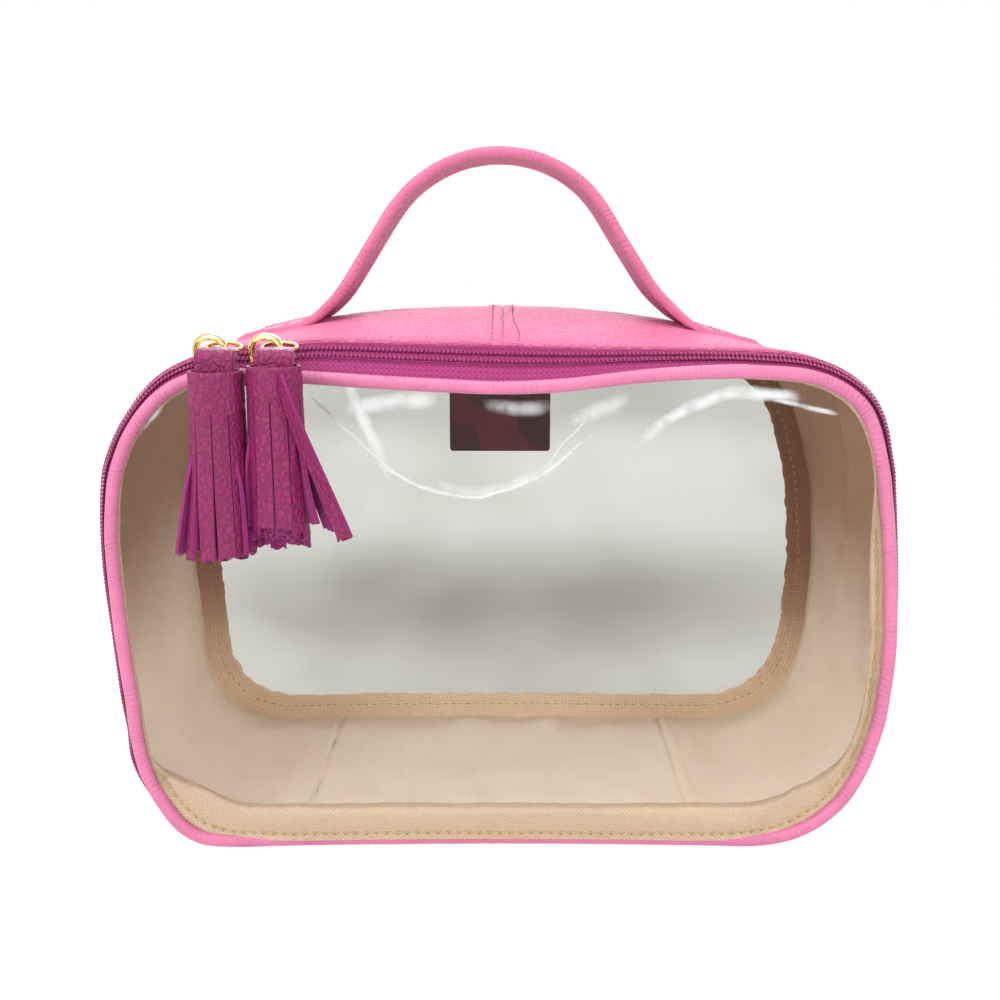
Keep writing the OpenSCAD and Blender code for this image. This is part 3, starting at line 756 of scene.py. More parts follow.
def strip_section(line, thick):
    """A closed section from an open line of (u, v), with round edges.

    A positive thick lies inward of a line that runs backward, and outward of one that runs
    forward; a negative one lies on the other side.
    """
    inner = []
    for i, (u, v) in enumerate(line):
        a, b = line[max(0, i - 1)], line[min(len(line) - 1, i + 1)]
        du, dv = b[0] - a[0], b[1] - a[1]
        size = math.hypot(du, dv) or 1
        inner.append((u + thick * dv / size, v - thick * du / size))
    ends = []
    for near, far, step in ((line[-1], inner[-1], line[-2]), (inner[0], line[0], line[1])):
        mid = ((near[0] + far[0]) / 2, (near[1] + far[1]) / 2)
        away = (mid[0] - step[0], mid[1] - step[1])
        size = math.hypot(*away) or 1
        ends.append((mid[0] + away[0] / size * thick * 0.25, mid[1] + away[1] / size * thick * 0.25))
    return [*line, ends[0], *reversed(inner), ends[1]]


def run_of(low, high, step):
    """Even places from low to high, about step apart."""
    count = max(1, round(abs(high - low) / step))
    return [low + (high - low) * i / count for i in range(count + 1)]


def band(rim, places, section, loop=False):
    """Carries a section of (u, v), which may change along the way, round the rim."""
    shell = Shell()
    shell.skin([[rim.point(s, u, v) for u, v in section(s)] for s in places], loop)
    return shell


# ---- what repeats along a path, as Geometry Nodes ----


def row_tree():
    """Sets one oval stitch or tooth at every step along a path, across its "up" direction."""
    tree = bpy.data.node_groups.new("Row along a path", "GeometryNodeTree")
    face = tree.interface
    face.new_socket("Path", in_out="INPUT", socket_type="NodeSocketGeometry")
    for name, default in (("Pitch", 0.003), ("Length", 0.002), ("Width", 0.0006),
                          ("Height", 0.0004), ("Wander", 0.0)):
        face.new_socket(name, in_out="INPUT", socket_type="NodeSocketFloat").default_value = default
    face.new_socket("Seed", in_out="INPUT", socket_type="NodeSocketInt").default_value = 7
    face.new_socket("Finish", in_out="INPUT", socket_type="NodeSocketMaterial")
    face.new_socket("Row", in_out="OUTPUT", socket_type="NodeSocketGeometry")

    def node(kind, settings=None, values=None):
        made = tree.nodes.new(kind)
        for key, value in (settings or {}).items():
            setattr(made, key, value)
        for key, value in (values or {}).items():
            if isinstance(value, bpy.types.NodeSocket):
                tree.links.new(value, made.inputs[key])
            else:
                made.inputs[key].default_value = value
        return made

    given = node("NodeGroupInput").outputs
    curve = node("GeometryNodeMeshToCurve", None, {"Mesh": given["Path"]})
    steps = node("GeometryNodeResampleCurve", {"mode": "LENGTH"},
                 {"Curve": curve.outputs[0], "Length": given["Pitch"]})
    chance = node("FunctionNodeRandomValue", {"data_type": "FLOAT_VECTOR"},
                  {0: (-1, -1, -1), 1: (1, 1, 1), "Seed": given["Seed"]})
    drift = node("ShaderNodeVectorMath", {"operation": "SCALE"},
                 {0: chance.outputs[0], "Scale": given["Wander"]})
    moved = node("GeometryNodeSetPosition", None,
                 {"Geometry": steps.outputs[0], "Offset": drift.outputs[0]})
    up = node("GeometryNodeInputNamedAttribute", {"data_type": "FLOAT_VECTOR"}, {"Name": "up"})
    heading = node("GeometryNodeInputTangent")
    turn = node("FunctionNodeAxesToRotation", {"primary_axis": "Z", "secondary_axis": "X"},
                {0: up.outputs[0], 1: heading.outputs[0]})
    size = node("ShaderNodeCombineXYZ", None,
                {0: given["Length"], 1: given["Width"], 2: given["Height"]})
    oval = node("GeometryNodeMeshUVSphere", None, {"Segments": 8, "Rings": 6, "Radius": 0.5})
    shaped = node("GeometryNodeTransform", None,
                  {"Geometry": oval.outputs[0], "Scale": size.outputs[0]})
    row = node("GeometryNodeInstanceOnPoints", None,
               {"Points": moved.outputs[0], "Instance": shaped.outputs[0],
                "Rotation": turn.outputs[0]})
    real = node("GeometryNodeRealizeInstances", None, {"Geometry": row.outputs[0]})
    painted = node("GeometryNodeSetMaterial", None,
                   {"Geometry": real.outputs[0], "Material": given["Finish"]})
    node("NodeGroupOutput", None, {0: painted.outputs[0]})
    return tree


def row(name, paths, finish_name, body, slot, nodes=(), **values):
    """A row of stitches or teeth along paths of (point, up), made a plain mesh."""
    tree = bpy.data.node_groups.get("Row along a path") or row_tree()
    mesh = bpy.data.meshes.new(name)
    points = [place * MM for path in paths for place, _ in path]
    edges, start = [], 0
    for path in paths:
        edges += [(start + i, start + i + 1) for i in range(len(path) - 1)]
        start += len(path)
    mesh.from_pydata(points, edges, [])
    up = mesh.attributes.new("up", "FLOAT_VECTOR", "POINT")
    up.data.foreach_set("vector", [part for path in paths for _, out in path for part in out])
    guide = bpy.data.objects.new(name + "_path", mesh)
    bpy.context.scene.collection.objects.link(guide)
    modifier = guide.modifiers.new("Row", "NODES")
    modifier.node_group = tree
    settings = {key: value * MM for key, value in values.items()}
    settings["Finish"] = finish(finish_name)
    for item in tree.interface.items_tree:
        if item.in_out == "INPUT" and item.name in settings:
            modifier[item.identifier] = settings[item.name]
    guide.update_tag()
    bpy.context.view_layer.update()
    seen = guide.evaluated_get(bpy.context.evaluated_depsgraph_get())
    made = bpy.data.meshes.new_from_object(seen)
    made.name = name
    guide.modifiers.remove(modifier)
    bpy.data.objects.remove(guide)
    if not made.polygons:
        raise RuntimeError(f"the row {name} came out empty")
    return hang(made, name, body, slot, nodes, sharp=80)


def rim_row(rim, places, u, v, lean):
    """A path round the rim for row(), whose up direction leans forward by lean."""
    path = []
    for s in places:
        here = rim.point(s, u, v)
        out = rim.point(s, u + 0.5 * math.cos(lean), v + 0.5 * math.sin(lean)) - here
        path.append((here, out.normalized()))
    return path


# ---- stage ----

CAMERA_LENS = 38.86
CAMERA_PLACE = (0, -0.3562, 0.1765)
# How far the camera looks down, in degrees
CAMERA_PITCH = 12
# Name, place, aim and size in metres, and power in watts of each lamp
LAMPS = (
    ("Overhead", (-0.1, -0.15, 0.95), (0, 0, 0.1), (0.9, 0.7), 6.0),
    ("Left", (-0.75, -0.85, 0.62), (0, 0, 0.08), (0.5, 0.35), 4.9),
    ("Back", (0, 0.8, 0.42), (0, 0, 0.02), (0.6, 0.3), 5.0),
    ("Right", (0.7, -0.8, 0.5), (0, 0, 0.08), (0.35, 0.5), 2.3),
)


def studio_world():
    """A white surround for the camera, metal and film, and a softer one for the light."""
    world = bpy.data.worlds.new("Studio")
    bpy.context.scene.world = world
    world.use_nodes = True
    nodes, links = world.node_tree.nodes, world.node_tree.links
    nodes.clear()
    ray = nodes.new("ShaderNodeLightPath")
    white = nodes.new("ShaderNodeBackground")
    white.inputs["Color"].default_value = (1, 1, 1, 1)
    room = nodes.new("ShaderNodeBackground")
    room.inputs["Color"].default_value = (1, 0.99, 0.98, 1)
    room.inputs["Strength"].default_value = 0.88
    share = ray.outputs["Is Camera Ray"]
    for name in ("Is Glossy Ray", "Is Transmission Ray"):
        most = nodes.new("ShaderNodeMath")
        most.operation = "MAXIMUM"
        links.new(share, most.inputs[0])
        links.new(ray.outputs[name], most.inputs[1])
        share = most.outputs[0]
    mix = nodes.new("ShaderNodeMixShader")
    links.new(share, mix.inputs[0])
    links.new(room.outputs[0], mix.inputs[1])
    links.new(white.outputs[0], mix.inputs[2])
    out = nodes.new("ShaderNodeOutputWorld")
    links.new(mix.outputs[0], out.inputs[0])


def pale_floor():
    """A pale floor that reads white to the camera and keeps a soft shadow."""
    f = Finish("studio_floor")
    paint = f.add("ShaderNodeBsdfDiffuse", None, {"Color": (0.86, 0.86, 0.86, 1)})
    glow = f.add("ShaderNodeEmission", None, {"Color": (1, 1, 1, 1), "Strength": 1.15})
    ray = f.tree.nodes.new("ShaderNodeLightPath")
    seen = Wire(f, ray.outputs["Is Camera Ray"]).most(Wire(f, ray.outputs["Is Glossy Ray"]))
    seen = seen.most(Wire(f, ray.outputs["Is Transmission Ray"]))
    floor = f.add("ShaderNodeMixShader", None, {0: seen * 0.78, 1: paint, 2: glow})
    f.add("ShaderNodeOutputMaterial", None, {"Surface": floor})
    return f.material


def soft_lamp(name, place, aim, size, power):
    """A rectangular area lamp at place, turned towards aim; all in metres."""
    data = bpy.data.lights.new(name, "AREA")
    data.shape = "RECTANGLE"
    data.size, data.size_y = size
    data.energy = power
    lamp = bpy.data.objects.new(name, data)
    lamp.location = place
    lamp.rotation_euler = (Vector(aim) - Vector(place)).to_track_quat("-Z", "Y").to_euler()
    bpy.context.scene.collection.objects.link(lamp)


class CASE_OT_stage(bpy.types.Operator):
    """Sets up the camera, the lamps and the floor"""
    bl_idname = "train_case.stage"
    bl_label = "Stage"

    def execute(self, context):
        data = bpy.data.cameras.new("Camera")
        data.sensor_width = 36
        data.lens = CAMERA_LENS
        data.clip_start = 0.01
        camera = bpy.data.objects.new("Camera", data)
        camera.location = CAMERA_PLACE
        camera.rotation_euler = (math.radians(90 - CAMERA_PITCH), 0, 0)
        context.scene.collection.objects.link(camera)
        context.scene.camera = camera
        context.scene.view_settings.view_transform = "Standard"
        studio_world()
        for lamp in LAMPS:
            soft_lamp(*lamp)
        mesh = bpy.data.meshes.new("Floor")
        corners = [(-2.5, -2.5, 0), (2.5, -2.5, 0), (2.5, 3.5, 0), (-2.5, 3.5, 0)]
        mesh.from_pydata(corners, [], [(0, 1, 2, 3)])
        mesh.materials.append(pale_floor())
        floor = bpy.data.objects.new("Floor", mesh)
        context.scene.collection.objects.link(floor)
        return {"FINISHED"}


# ---- the band and its layers ----


def seam_lift(s, ends):
    """Height of the leather near a seam: a groove, a swell over the turned edge, two stitch dips."""
    gap = min(abs(s - end) for end in ends)
    swell = 0.45 * ease((5.2 - gap) / 1.2)
    dip = 0.22 * math.exp(-((gap - 3.3) / 0.45) ** 2)
    return swell - dip - 0.6 * math.exp(-(gap / 0.5) ** 2)


def leather_face(rim, s, v, ends):
    """How far out the leather's grain side lies."""
    x, z = rim.at(s)[:2]
    soft = 0.45 * soft_noise(x, v, z, 26) + 0.18 * soft_noise(x, v, z, 9)
    inset = ease((37.2 - v) / 7) * ease((v + 46) / 7)
    hem = 0.12 * ease((v - 30.5) / 2) - 0.6 * ease((abs(x) - 80) / 14) * ease((v - 14) / 20)
    return 2.95 + hem + seam_lift(s, ends) * (0.35 + 0.65 * inset) + soft * inset


def leather_section(rim, ends):
    """The leather from its folded front edge to where it turns in at the back piping."""
    def section(s):
        face = leather_face(rim, s, 37.2, ends)
        line = [(face - 1.3, 37.75), (face - 0.55, 37.8), (face - 0.15, 37.6)]
        line += [(leather_face(rim, s, v, ends), v) for v in run_of(37.2, -45.5, 3.0)]
        line += [(2.7, -46.8), (2.0, -47.8), (1.4, -48.4)]
        return strip_section(line, 1.15)
    return section


class CASE_OT_band(bpy.types.Operator):
    """Builds the band's two halves, their seams and stiffening, and the strip under the lid"""
    bl_idname = "train_case.band"
    bl_label = "Leather band"

    def execute(self, context):
        rim = Rim()
        bottom, top = BOTTOM_SEAM, rim.top_at(TOP_SEAM)
        halves = (("band_right", bottom, top, "gusset_right"),
                  ("band_left", top, rim.total + bottom, "gusset_left"))
        for name, start, end, node in halves:
            section = leather_section(rim, (start, end))
            places = rim.walk(start + 0.02, end - 0.02, 2.5, 6.5)
            shell = band(rim, places, section)
            shell.piece(name, ["pink_leather"], "case", "pink_leather", [node])
        self.seams(rim, top, bottom)
        self.hinge(rim)
        runs = run_of(36, -44, 4)
        layer = [(1.5, v) for v in runs] + [(1.12, v) for v in reversed(runs)]
        shell = band(rim, run_of(0, rim.total, 3)[:-1], lambda s: layer, True)
        shell.piece("stiffening_layer", ["stiffener"], "case", "stiffener", ["stiffener"])
        return {"FINISHED"}

    def seams(self, rim, top, bottom):
        """Topstitching beside the seams, the seam's own thread and the fold's needle holes."""
        lines = []
        for seam in (top, bottom):
            ends = (seam, seam)
            for aside in (-3.1, 0.0, 3.3):
                path = []
                for v in run_of(36.6, -45, 1.6):
                    s = seam + aside - (1.5 * ease((v - 14) / 18) if aside < 0 else 0.0)
                    face = leather_face(rim, s, v, ends)
                    here = rim.point(s, face + (0.1 if aside else -0.1), v)
                    out = rim.point(s, face + 1.2, v) - here
                    path.append((here, out.normalized()))
                lines.append(path)
        row("seam_topstitch", lines, "dark_thread", "case", "pink_leather", Pitch=1.9,
            Length=1.0, Width=0.38, Height=0.34, Wander=0.12)
        fold = []
        for s in rim.walk(rim.zip_start + 4, rim.zip_end - 4, 2.5):
            face = leather_face(rim, s, 35.3, (top, bottom))
            here = rim.point(s, face + 0.06, 35.3)
            fold.append((here, (rim.point(s, face + 1, 35.3) - here).normalized()))
        row("fold_needle_holes", [fold], "dark_thread", "case", "pink_leather", Pitch=3.4,
            Length=0.3, Width=0.26, Height=0.24, Wander=0.1)

    def hinge(self, rim):
        """The leather under the front that the lid folds down on."""
        line = [(3.0, 37.4), (3.15, 40), (3.1, 43), (2.9, 45), (1.9, 47), (1.2, 47.9)]
        start, end = rim.zip_end + 0.5, rim.total + rim.zip_start - 0.5

        def section(s):
            held = 1.3 * (1 - ease(min(s - start, end - s) / 26))
            return strip_section([(u - held, v) for u, v in line], -1.0)

        shell = band(rim, rim.walk(start, end, 2.5), section)
        shell.piece("hinge_leather", ["pink_leather"], "case", "pink_leather", ["hinge_strip"])


def lining_section(rim):
    """Lining cloth that hangs a little loose of the band, with soft folds."""
    def section(s):
        x, z = rim.at(s)[:2]
        line = []
        for v in run_of(36.4, -46.6, 2.2):
            held = ease((36.4 - v) / 12) * ease((v + 46.6) / 9)
            loose = 1.2 + 1.9 * soft_noise(x, v * 0.7, z * 0.5, 17)
            loose += 0.5 * soft_noise(x, v, z * 1.6, 8)
            crease = 0.9 * abs(soft_noise(x * 1.3, v * 0.4, z * 1.3, 15))
            slant = v - 4 - 0.55 * (z - 92)
            fold = 2.6 * ease((z - 55) / 40) * (ease((slant + 9) / 9) - ease(slant / 2.5)) * (x > 60)
            line.append((0.95 - max(0.0, loose + crease + fold) * held, v))
        return strip_section(line, -0.55)
    return section


class CASE_OT_lining(bpy.types.Operator):
    """Builds the four panels of lining and tucks them together at their seams"""
    bl_idname = "train_case.lining"
    bl_label = "Lining"

    def execute(self, context):
        rim = Rim()
        low = span("lining_floor", 0)[1]
        right, left = low, rim.total - low
        panels = (
            ("lining_floor_cloth", left, rim.total + right, "lining_floor"),
            ("lining_right_cloth", right, rim.top_at(low), "lining_right"),
            ("lining_top_cloth", rim.top_at(low), rim.top_at(-low), "lining_top"),
            ("lining_left_cloth", rim.top_at(-low), left, "lining_left"))
        base = lining_section(rim)
        for name, start, end, node in panels:
            def tucked(s, start=start, end=end):
                gap = min(s - start, end - s)
                tuck = 0.75 * math.exp(-(gap / 0.7) ** 2) - 0.4 * math.exp(-((gap - 2.2) / 1.1) ** 2)
                return [(u + tuck * (u < 0.9), v) for u, v in base(s)]
            shell = band(rim, rim.walk(start - 0.15, end + 0.15, 2.2, 5), tucked)
            shell.piece(name, ["lining_cloth"], "case", "lining_cloth", [node])
        return {"FINISHED"}


class CASE_OT_piping(bpy.types.Operator):
    """Builds the front and back piping with their cords"""
    bl_idname = "train_case.piping"
    bl_label = "Piping"

    def execute(self, context):
        rim = Rim()
        radius = context.scene.case_sizes.piping / MM / 2
        for side, body, words in ((1, "lid", "front"), (-1, "case", "back")):
            places = run_of(0, rim.total, 2.2)[:-1]
            for name, size, finish_name, slot, node, sides in (
                    ("piping", radius, "piping_leather", "pink_piping", "piping", 20),
                    ("piping_core", radius - 0.7, "cotton_cord", "cotton_cord", "piping_cord", 8)):
                rings = []
                for s in places:
                    x, z = rim.at(s)[:2]
                    swell = 1 + 0.03 * soft_noise(x, side * 30, z, 7) if sides > 8 else 1
                    centre = rim.point(s, 0, side * rim.piping_v)
                    heading = (rim.point(s + 0.5, 0, side * rim.piping_v) - centre).normalized()
                    if side > 0:
                        centre += Vector((0, 0.75, -0.35)) * apron(x, z)
                    forward = Vector((0, -side, 0))
                    out = heading.cross(Vector((0, -1, 0)))
                    rings.append(circle(centre, out, forward, size * swell, sides))
                shell = Shell()
                shell.skin(rings, True)
                shell.piece(f"{words}_{name}_roll", [finish_name], body, slot, [f"{words}_{node}"])
        return {"FINISHED"}


def binding_show(x, z):
    """How much of the front binding lies in the window's plane; the rest turns back inside."""
    low = ease((60 - z) / 46) * ease((116 - abs(x)) / 20)
    side = 0.3 if x < 0 else 3.4
    return 0.3 + side * ease((128 - z) / 40) * ease((abs(x) - 60) / 40) * (1 - low) + 8.6 * low


class CASE_OT_binding(bpy.types.Operator):
    """Builds the bias binding over both inside seams, with its stitches"""
    bl_idname = "train_case.binding"
    bl_label = "Bias binding"

    def execute(self, context):
        rim = Rim()
        places = run_of(0, rim.total, 1.6)[:-1]
        front = band(rim, places, lambda s: self.front_section(rim, s), True)
        front.piece("front_seam_binding", ["bias_binding"], "lid", "bias_binding",
                    ["front_binding"])
        # The back binding's finish carries painted light and painted shade.
        back = band(rim, places, lambda s: self.back_section(rim, s), True)
        back.piece("back_seam_binding", ["worn_binding"], "case", "bias_binding",
                   ["back_binding"])
        self.stitches(rim, context.scene.case_sizes.stitch_pitch / MM)
        return {"FINISHED"}

    def front_section(self, rim, s):
        """An L of folded cloth: flat behind the window, then back along the zipper."""
        x, z, nx, nz = rim.at(s)
        show = binding_show(x, z) + 0.3 * soft_noise(x, 9, z, 7)
        pucker = 0.9 * ease((show - 1.5) / 2) * ease((8.4 - show) / 2)
        pucker *= abs(soft_noise(x, 5, z, 4.2))
        over = apron(x, z)
        start = -1.5 + 0.8 * over
        turn = -1.6 - max(0.3, show)
        line = []
        for i in range(9):
            u = start + (turn - start) * i / 8
            pull = 0.3 * math.exp(-((u - start + 2.6) / 0.8) ** 2)
            swell = 0.75 * film_shape(x - nx * abs(u), z - nz * abs(u), 1) if u < -1.4 else 0
            lump = 0.1 * soft_noise(x, u, z, 2.5)
            line.append((u, 48.5 + over - pull - pucker * i / 8 + swell + lump))
        v = line[-1][1]
        rest = 4.8 - 2.4 * ease((show - 5.5) / 3)
        line += [(turn - 0.45, v - 0.4)]
        line += [(turn - 0.5 + 0.25 * soft_noise(x, share * rest, z, 6), v - 0.5 - share * rest)
                 for share in (0.4, 0.7, 1.0)]
        return strip_section(line, 0.5)

    def back_section(self, rim, s):
        """A flat folded strip whose free edge is a little uneven."""
        x, z = rim.at(s)[:2]
        edge = -8.0 + 0.8 * soft_noise(x, -9, z, 5) + 0.5 * soft_noise(x, 0, z, 1.6)
        face = []
        for i in range(9):
            u = 1.1 + (edge - 1.1) * i / 8
            pull = 0.35 * math.exp(-((u + 4.2) / 0.7) ** 2)
            face.append((u, -46.2 - pull + 0.3 * soft_noise(x, u, z, 4)))
        return face + [(edge - 0.3, -47.2)] + [(u, -48.5) for u, _ in reversed(face)]

    def stitches(self, rim, pitch):
        """The thread that shows on both bindings, and the needle holes of the front one."""
        front, back = [[]], []
        for s in run_of(0, rim.total, 1.6):
            x, z, nx, nz = rim.at(s)
            if binding_show(x, z) > 2.6 and z < 120:
                start = -1.5 + 0.8 * apron(x, z)
                swell = 0.75 * film_shape(x + nx * (start - 2.6), z + nz * (start - 2.6), 1)
                here = rim.point(s, start - 2.6, 48.85 + apron(x, z) + swell)
                front[-1].append((here, Vector((0, -1, 0))))
            elif front[-1]:
                front.append([])
            back.append((rim.point(s, -4.2, -46.35), Vector((0, -1, 0))))
        paths = [run for run in front if len(run) > 4]
        row("front_binding_stitch", paths, "binding_thread", "lid", "bias_binding",
            Pitch=pitch, Length=pitch * 0.78, Width=0.62, Height=0.5, Wander=0.14)
        holes = [[(here + Vector((0, 0.05, -0.6)), out) for here, out in path] for path in paths]
        row("front_binding_holes", holes, "dark_thread", "lid", "bias_binding",
            Pitch=pitch, Length=0.5, Width=0.45, Height=0.3, Wander=0.1)
        row("back_binding_stitch", [back], "binding_thread", "case", "bias_binding",
            Pitch=pitch, Length=pitch * 0.5, Width=0.42, Height=0.36, Wander=0.2)


def film_shape(x, z, side):
    """How far the film stands forward of its sewn edge: a soft belly, dents and ripples."""
    reach = max(0.0, 1 - (x / 113) ** 4) * max(0.0, 1 - ((z - 74) / 72) ** 4)
    if side < 0:
        return reach * (1.3 * soft_noise(x, 3, z, 45) + 0.6 * soft_noise(x, 9, z, 19))
    belly = 3.4 * math.exp(-((z - 16) / 22) ** 2) * math.exp(-((x - 12) / 78) ** 2)
    lean = 1.6 * math.exp(-((z - 112) / 30) ** 2)
    gather = (math.exp(-((z - 138) / 17) ** 2)
              * (0.9 * math.sin(x / 6.5 + 0.8 * math.sin(x / 17)) + 1.1 * math.sin(x / 23 + 1)))
    dent = -2.2 * math.exp(-((x + 16) / 9) ** 2 - ((z - 128) / 12) ** 2)
    dent -= 1.6 * math.exp(-((x - 72) / 20) ** 2 - ((z - 132) / 9) ** 2)
    drift = 1.5 * soft_noise(x, 5, z, 48) + 0.4 * soft_noise(x, 11, z, 17)
    return reach * (belly + lean + 0.55 * gather + dent + drift)


class CASE_OT_windows(bpy.types.Operator):
    """Builds the clear front and back windows and the leather patch on the back one"""
    bl_idname = "train_case.windows"
    bl_label = "Clear windows and patch"

    def execute(self, context):
        rim = Rim()
        self.film(rim, "front_film_sheet", 49.0, 1, "lid", "front_film", "front_window")
        self.film(rim, "back_film_sheet", -49.0, -1, "case", "back_film", "back_window")
        self.patch()
        return {"FINISHED"}

    def film(self, rim, name, face, side, body, finish_name, node):
        """A thin closed sheet sewn in at the piping and free between."""
        thick = 0.4
        places = run_of(0, rim.total, 4)[:-1]
        shares = [1.0, 0.99] + run_of(0.97, 0.0, 0.033)
        shell = Shell()
        loops = []
        for inner in (0, 1):
            for share in (shares if not inner else reversed(shares)):
                loop = []
                for s in places:
                    x, z, nx, nz = rim.at(s)
                    over = apron(x, z) if side > 0 else 0.0
                    inset = 1.3 - 0.8 * over
                    x, z = x - nx * inset, z - nz * inset
                    x, z = x * share, rim.middle + (z - rim.middle) * share
                    v = face + film_shape(x, z, side) * ease((1 - share) / 0.06)
                    v += (apron(x, z) if side > 0 else 0.0) - side * thick * inner
                    loop.append(slump(x, -v, z))
                loops.append(loop)
        shell.skin(loops, False, False)
        made = shell.piece(name, [finish_name], body, "clear_window", [node])
        face_outward(made.data, weld=True)

    def on_film(self, x, y, z):
        """Where a point of the patch comes to rest on the back film."""
        here = slump(x, y, z)
        here.y += -film_shape(here.x, here.z, -1) * 0.9
        return here

    def patch(self):
        """A small leather patch, bare, with zigzag stitches along its top."""
        x0, x1 = span("label_patch", 0)
        y0, y1 = span("label_patch", 1)
        z0, z1 = span("label_patch", 2)
        shell = Shell()
        rings = []
        corner = 1.2
        for grow, y in ((-0.5, y0), (-0.1, y0 + 0.15), (0, y0 + 0.5), (0, y1 - 0.35),
                        (-0.15, y1 - 0.1), (-0.6, y1)):
            ring = []
            for cx, cz, first in ((x1, z1, 0), (x0, z1, 90), (x0, z0, 180), (x1, z0, 270)):
                mx = cx - math.copysign(corner, cx)
                mz = cz - math.copysign(corner, cz - (z0 + z1) / 2)
                for i in range(5):
                    t = math.radians(first + i * 22.5)
                    size = corner + grow
                    ring.append(self.on_film(mx + size * math.cos(t), y, mz + size * math.sin(t)))
            rings.append(ring)
        shell.skin(rings)
        shell.piece("label_leather_patch", ["label_leather"], "case", "label_leather",
                    ["label_patch"])
        path = []
        for i, x in enumerate(run_of(x0 + 2, x1 - 2, 1.3)):
            here = self.on_film(x, y0 - 0.02, z1 - 3.2 + 1.3 * (i % 2))
            path.append((here, Vector((0, -1, 0))))
        outside = [(here + Vector((0, y1 - y0 + 0.1, 0)), Vector((0, 1, 0))) for here, _ in path]
        row("label_zigzag", [path, outside], "pale_thread", "case", "label_leather",
            Pitch=0.92, Length=0.8, Width=0.3, Height=0.3, Wander=0.05)


# ---- zipper ----


def on_chain(s, n):
    """(u, v) of a point s forward of the coils' middle and n out of the tape's face."""
    return (CHAIN_U - s * math.sin(LEAN) + n * math.cos(LEAN),
            CHAIN_V + s * math.cos(LEAN) + n * math.sin(LEAN))


class CASE_OT_zipper(bpy.types.Operator):
    """Builds both knitted tapes and both rows of coil teeth"""
    bl_idname = "train_case.zipper"
    bl_label = "Zipper"

    def execute(self, context):
        rim = Rim()
        start, end = rim.zip_start, rim.zip_end
        places = rim.walk(start, end, 2.0)
        case_line = [on_chain(s, 0.02) for s in (-0.1, -1.6, -3.0, -4.0)]
        case_line += [(1.75, 36.6), (1.75, 33), (1.75, 31)]
        lid_line = [on_chain(s, 0.0) for s in (0.1, 1.8, 3.0, 3.6, 4.4, 5.2, 6.0)]
        lid_line += [(-0.3, 48.3), (-1.6, 48.2)]
        for name, line, body, node, side in (
                ("case_zip_tape", case_line, "case", "zipper_tape_case", 1),
                ("lid_zip_tape", lid_line, "lid", "zipper_tape_lid", -1)):
            section = strip_section(line, side * 0.5)
            shell = band(rim, places, lambda s, section=section: section)
            shell.piece(name, ["zipper_tape"], body, "zipper_tape", [node])
        pitch = context.scene.case_sizes.tooth_pitch / MM
        for name, body, node, side, shift in (
                ("case_zip_teeth", "case", "zipper_coil_case", -1, 0.0),
                ("lid_zip_teeth", "lid", "zipper_coil_lid", 1, 0.5)):
            u, v = on_chain(side * 1.22, 0.5)
            path = rim_row(rim, rim.walk(start + 0.6 + shift * pitch, end - 1, 1.5), u, v, LEAN)
            row(name, [path], "zipper_coil", body, "zipper_coil", [node], Pitch=pitch,
                Length=1.0, Width=2.7, Height=1.2)
            u, v = on_chain(side * 2.5, 1.0)
            sewing = rim_row(rim, rim.walk(start + 1, end - 1, 1.5), u, v, LEAN)
            row(f"{name}_sewing", [sewing], "zipper_coil", body, "zipper_coil", Pitch=pitch,
                Length=1.3, Width=0.34, Height=0.3)
        return {"FINISHED"}


# ---- sliders and rings ----


def chain_frame(x):
    """Turns (along, forward, out) at a slider's place into the case's directions."""
    z0 = FRONT_HIGH.z / MM - PIPING_MIDDLE + CHAIN_U
    return Matrix((
        (1, 0, 0, x),
        (0, -math.cos(LEAN), -math.sin(LEAN), -CHAIN_V),
        (0, -math.sin(LEAN), math.cos(LEAN), z0),
        (0, 0, 0, 1)))


def rounded_plate(shell, place, outline, levels):
    """Stacks an outline of (along, forward) at levels of (height, inset) in a chain frame."""
    rings = []
    for height, inset in levels:
        rings.append([place @ Vector((a - math.copysign(min(inset, abs(a)), a),
                                      f - math.copysign(min(inset, abs(f)), f), height))
                      for a, f in outline])
    shell.skin(rings)


def slider_outline(half_length, half_width, power=3.2, points=36):
    """A squarish oval, the plan of a slider's plate."""
    places = []
    for i in range(points):
        t = 2 * math.pi * (i + 0.5) / points
        c, s = math.cos(t), math.sin(t)
        places.append((half_length * math.copysign(abs(c) ** (2 / power), c),
                       half_width * math.copysign(abs(s) ** (2 / power), s)))
    return places


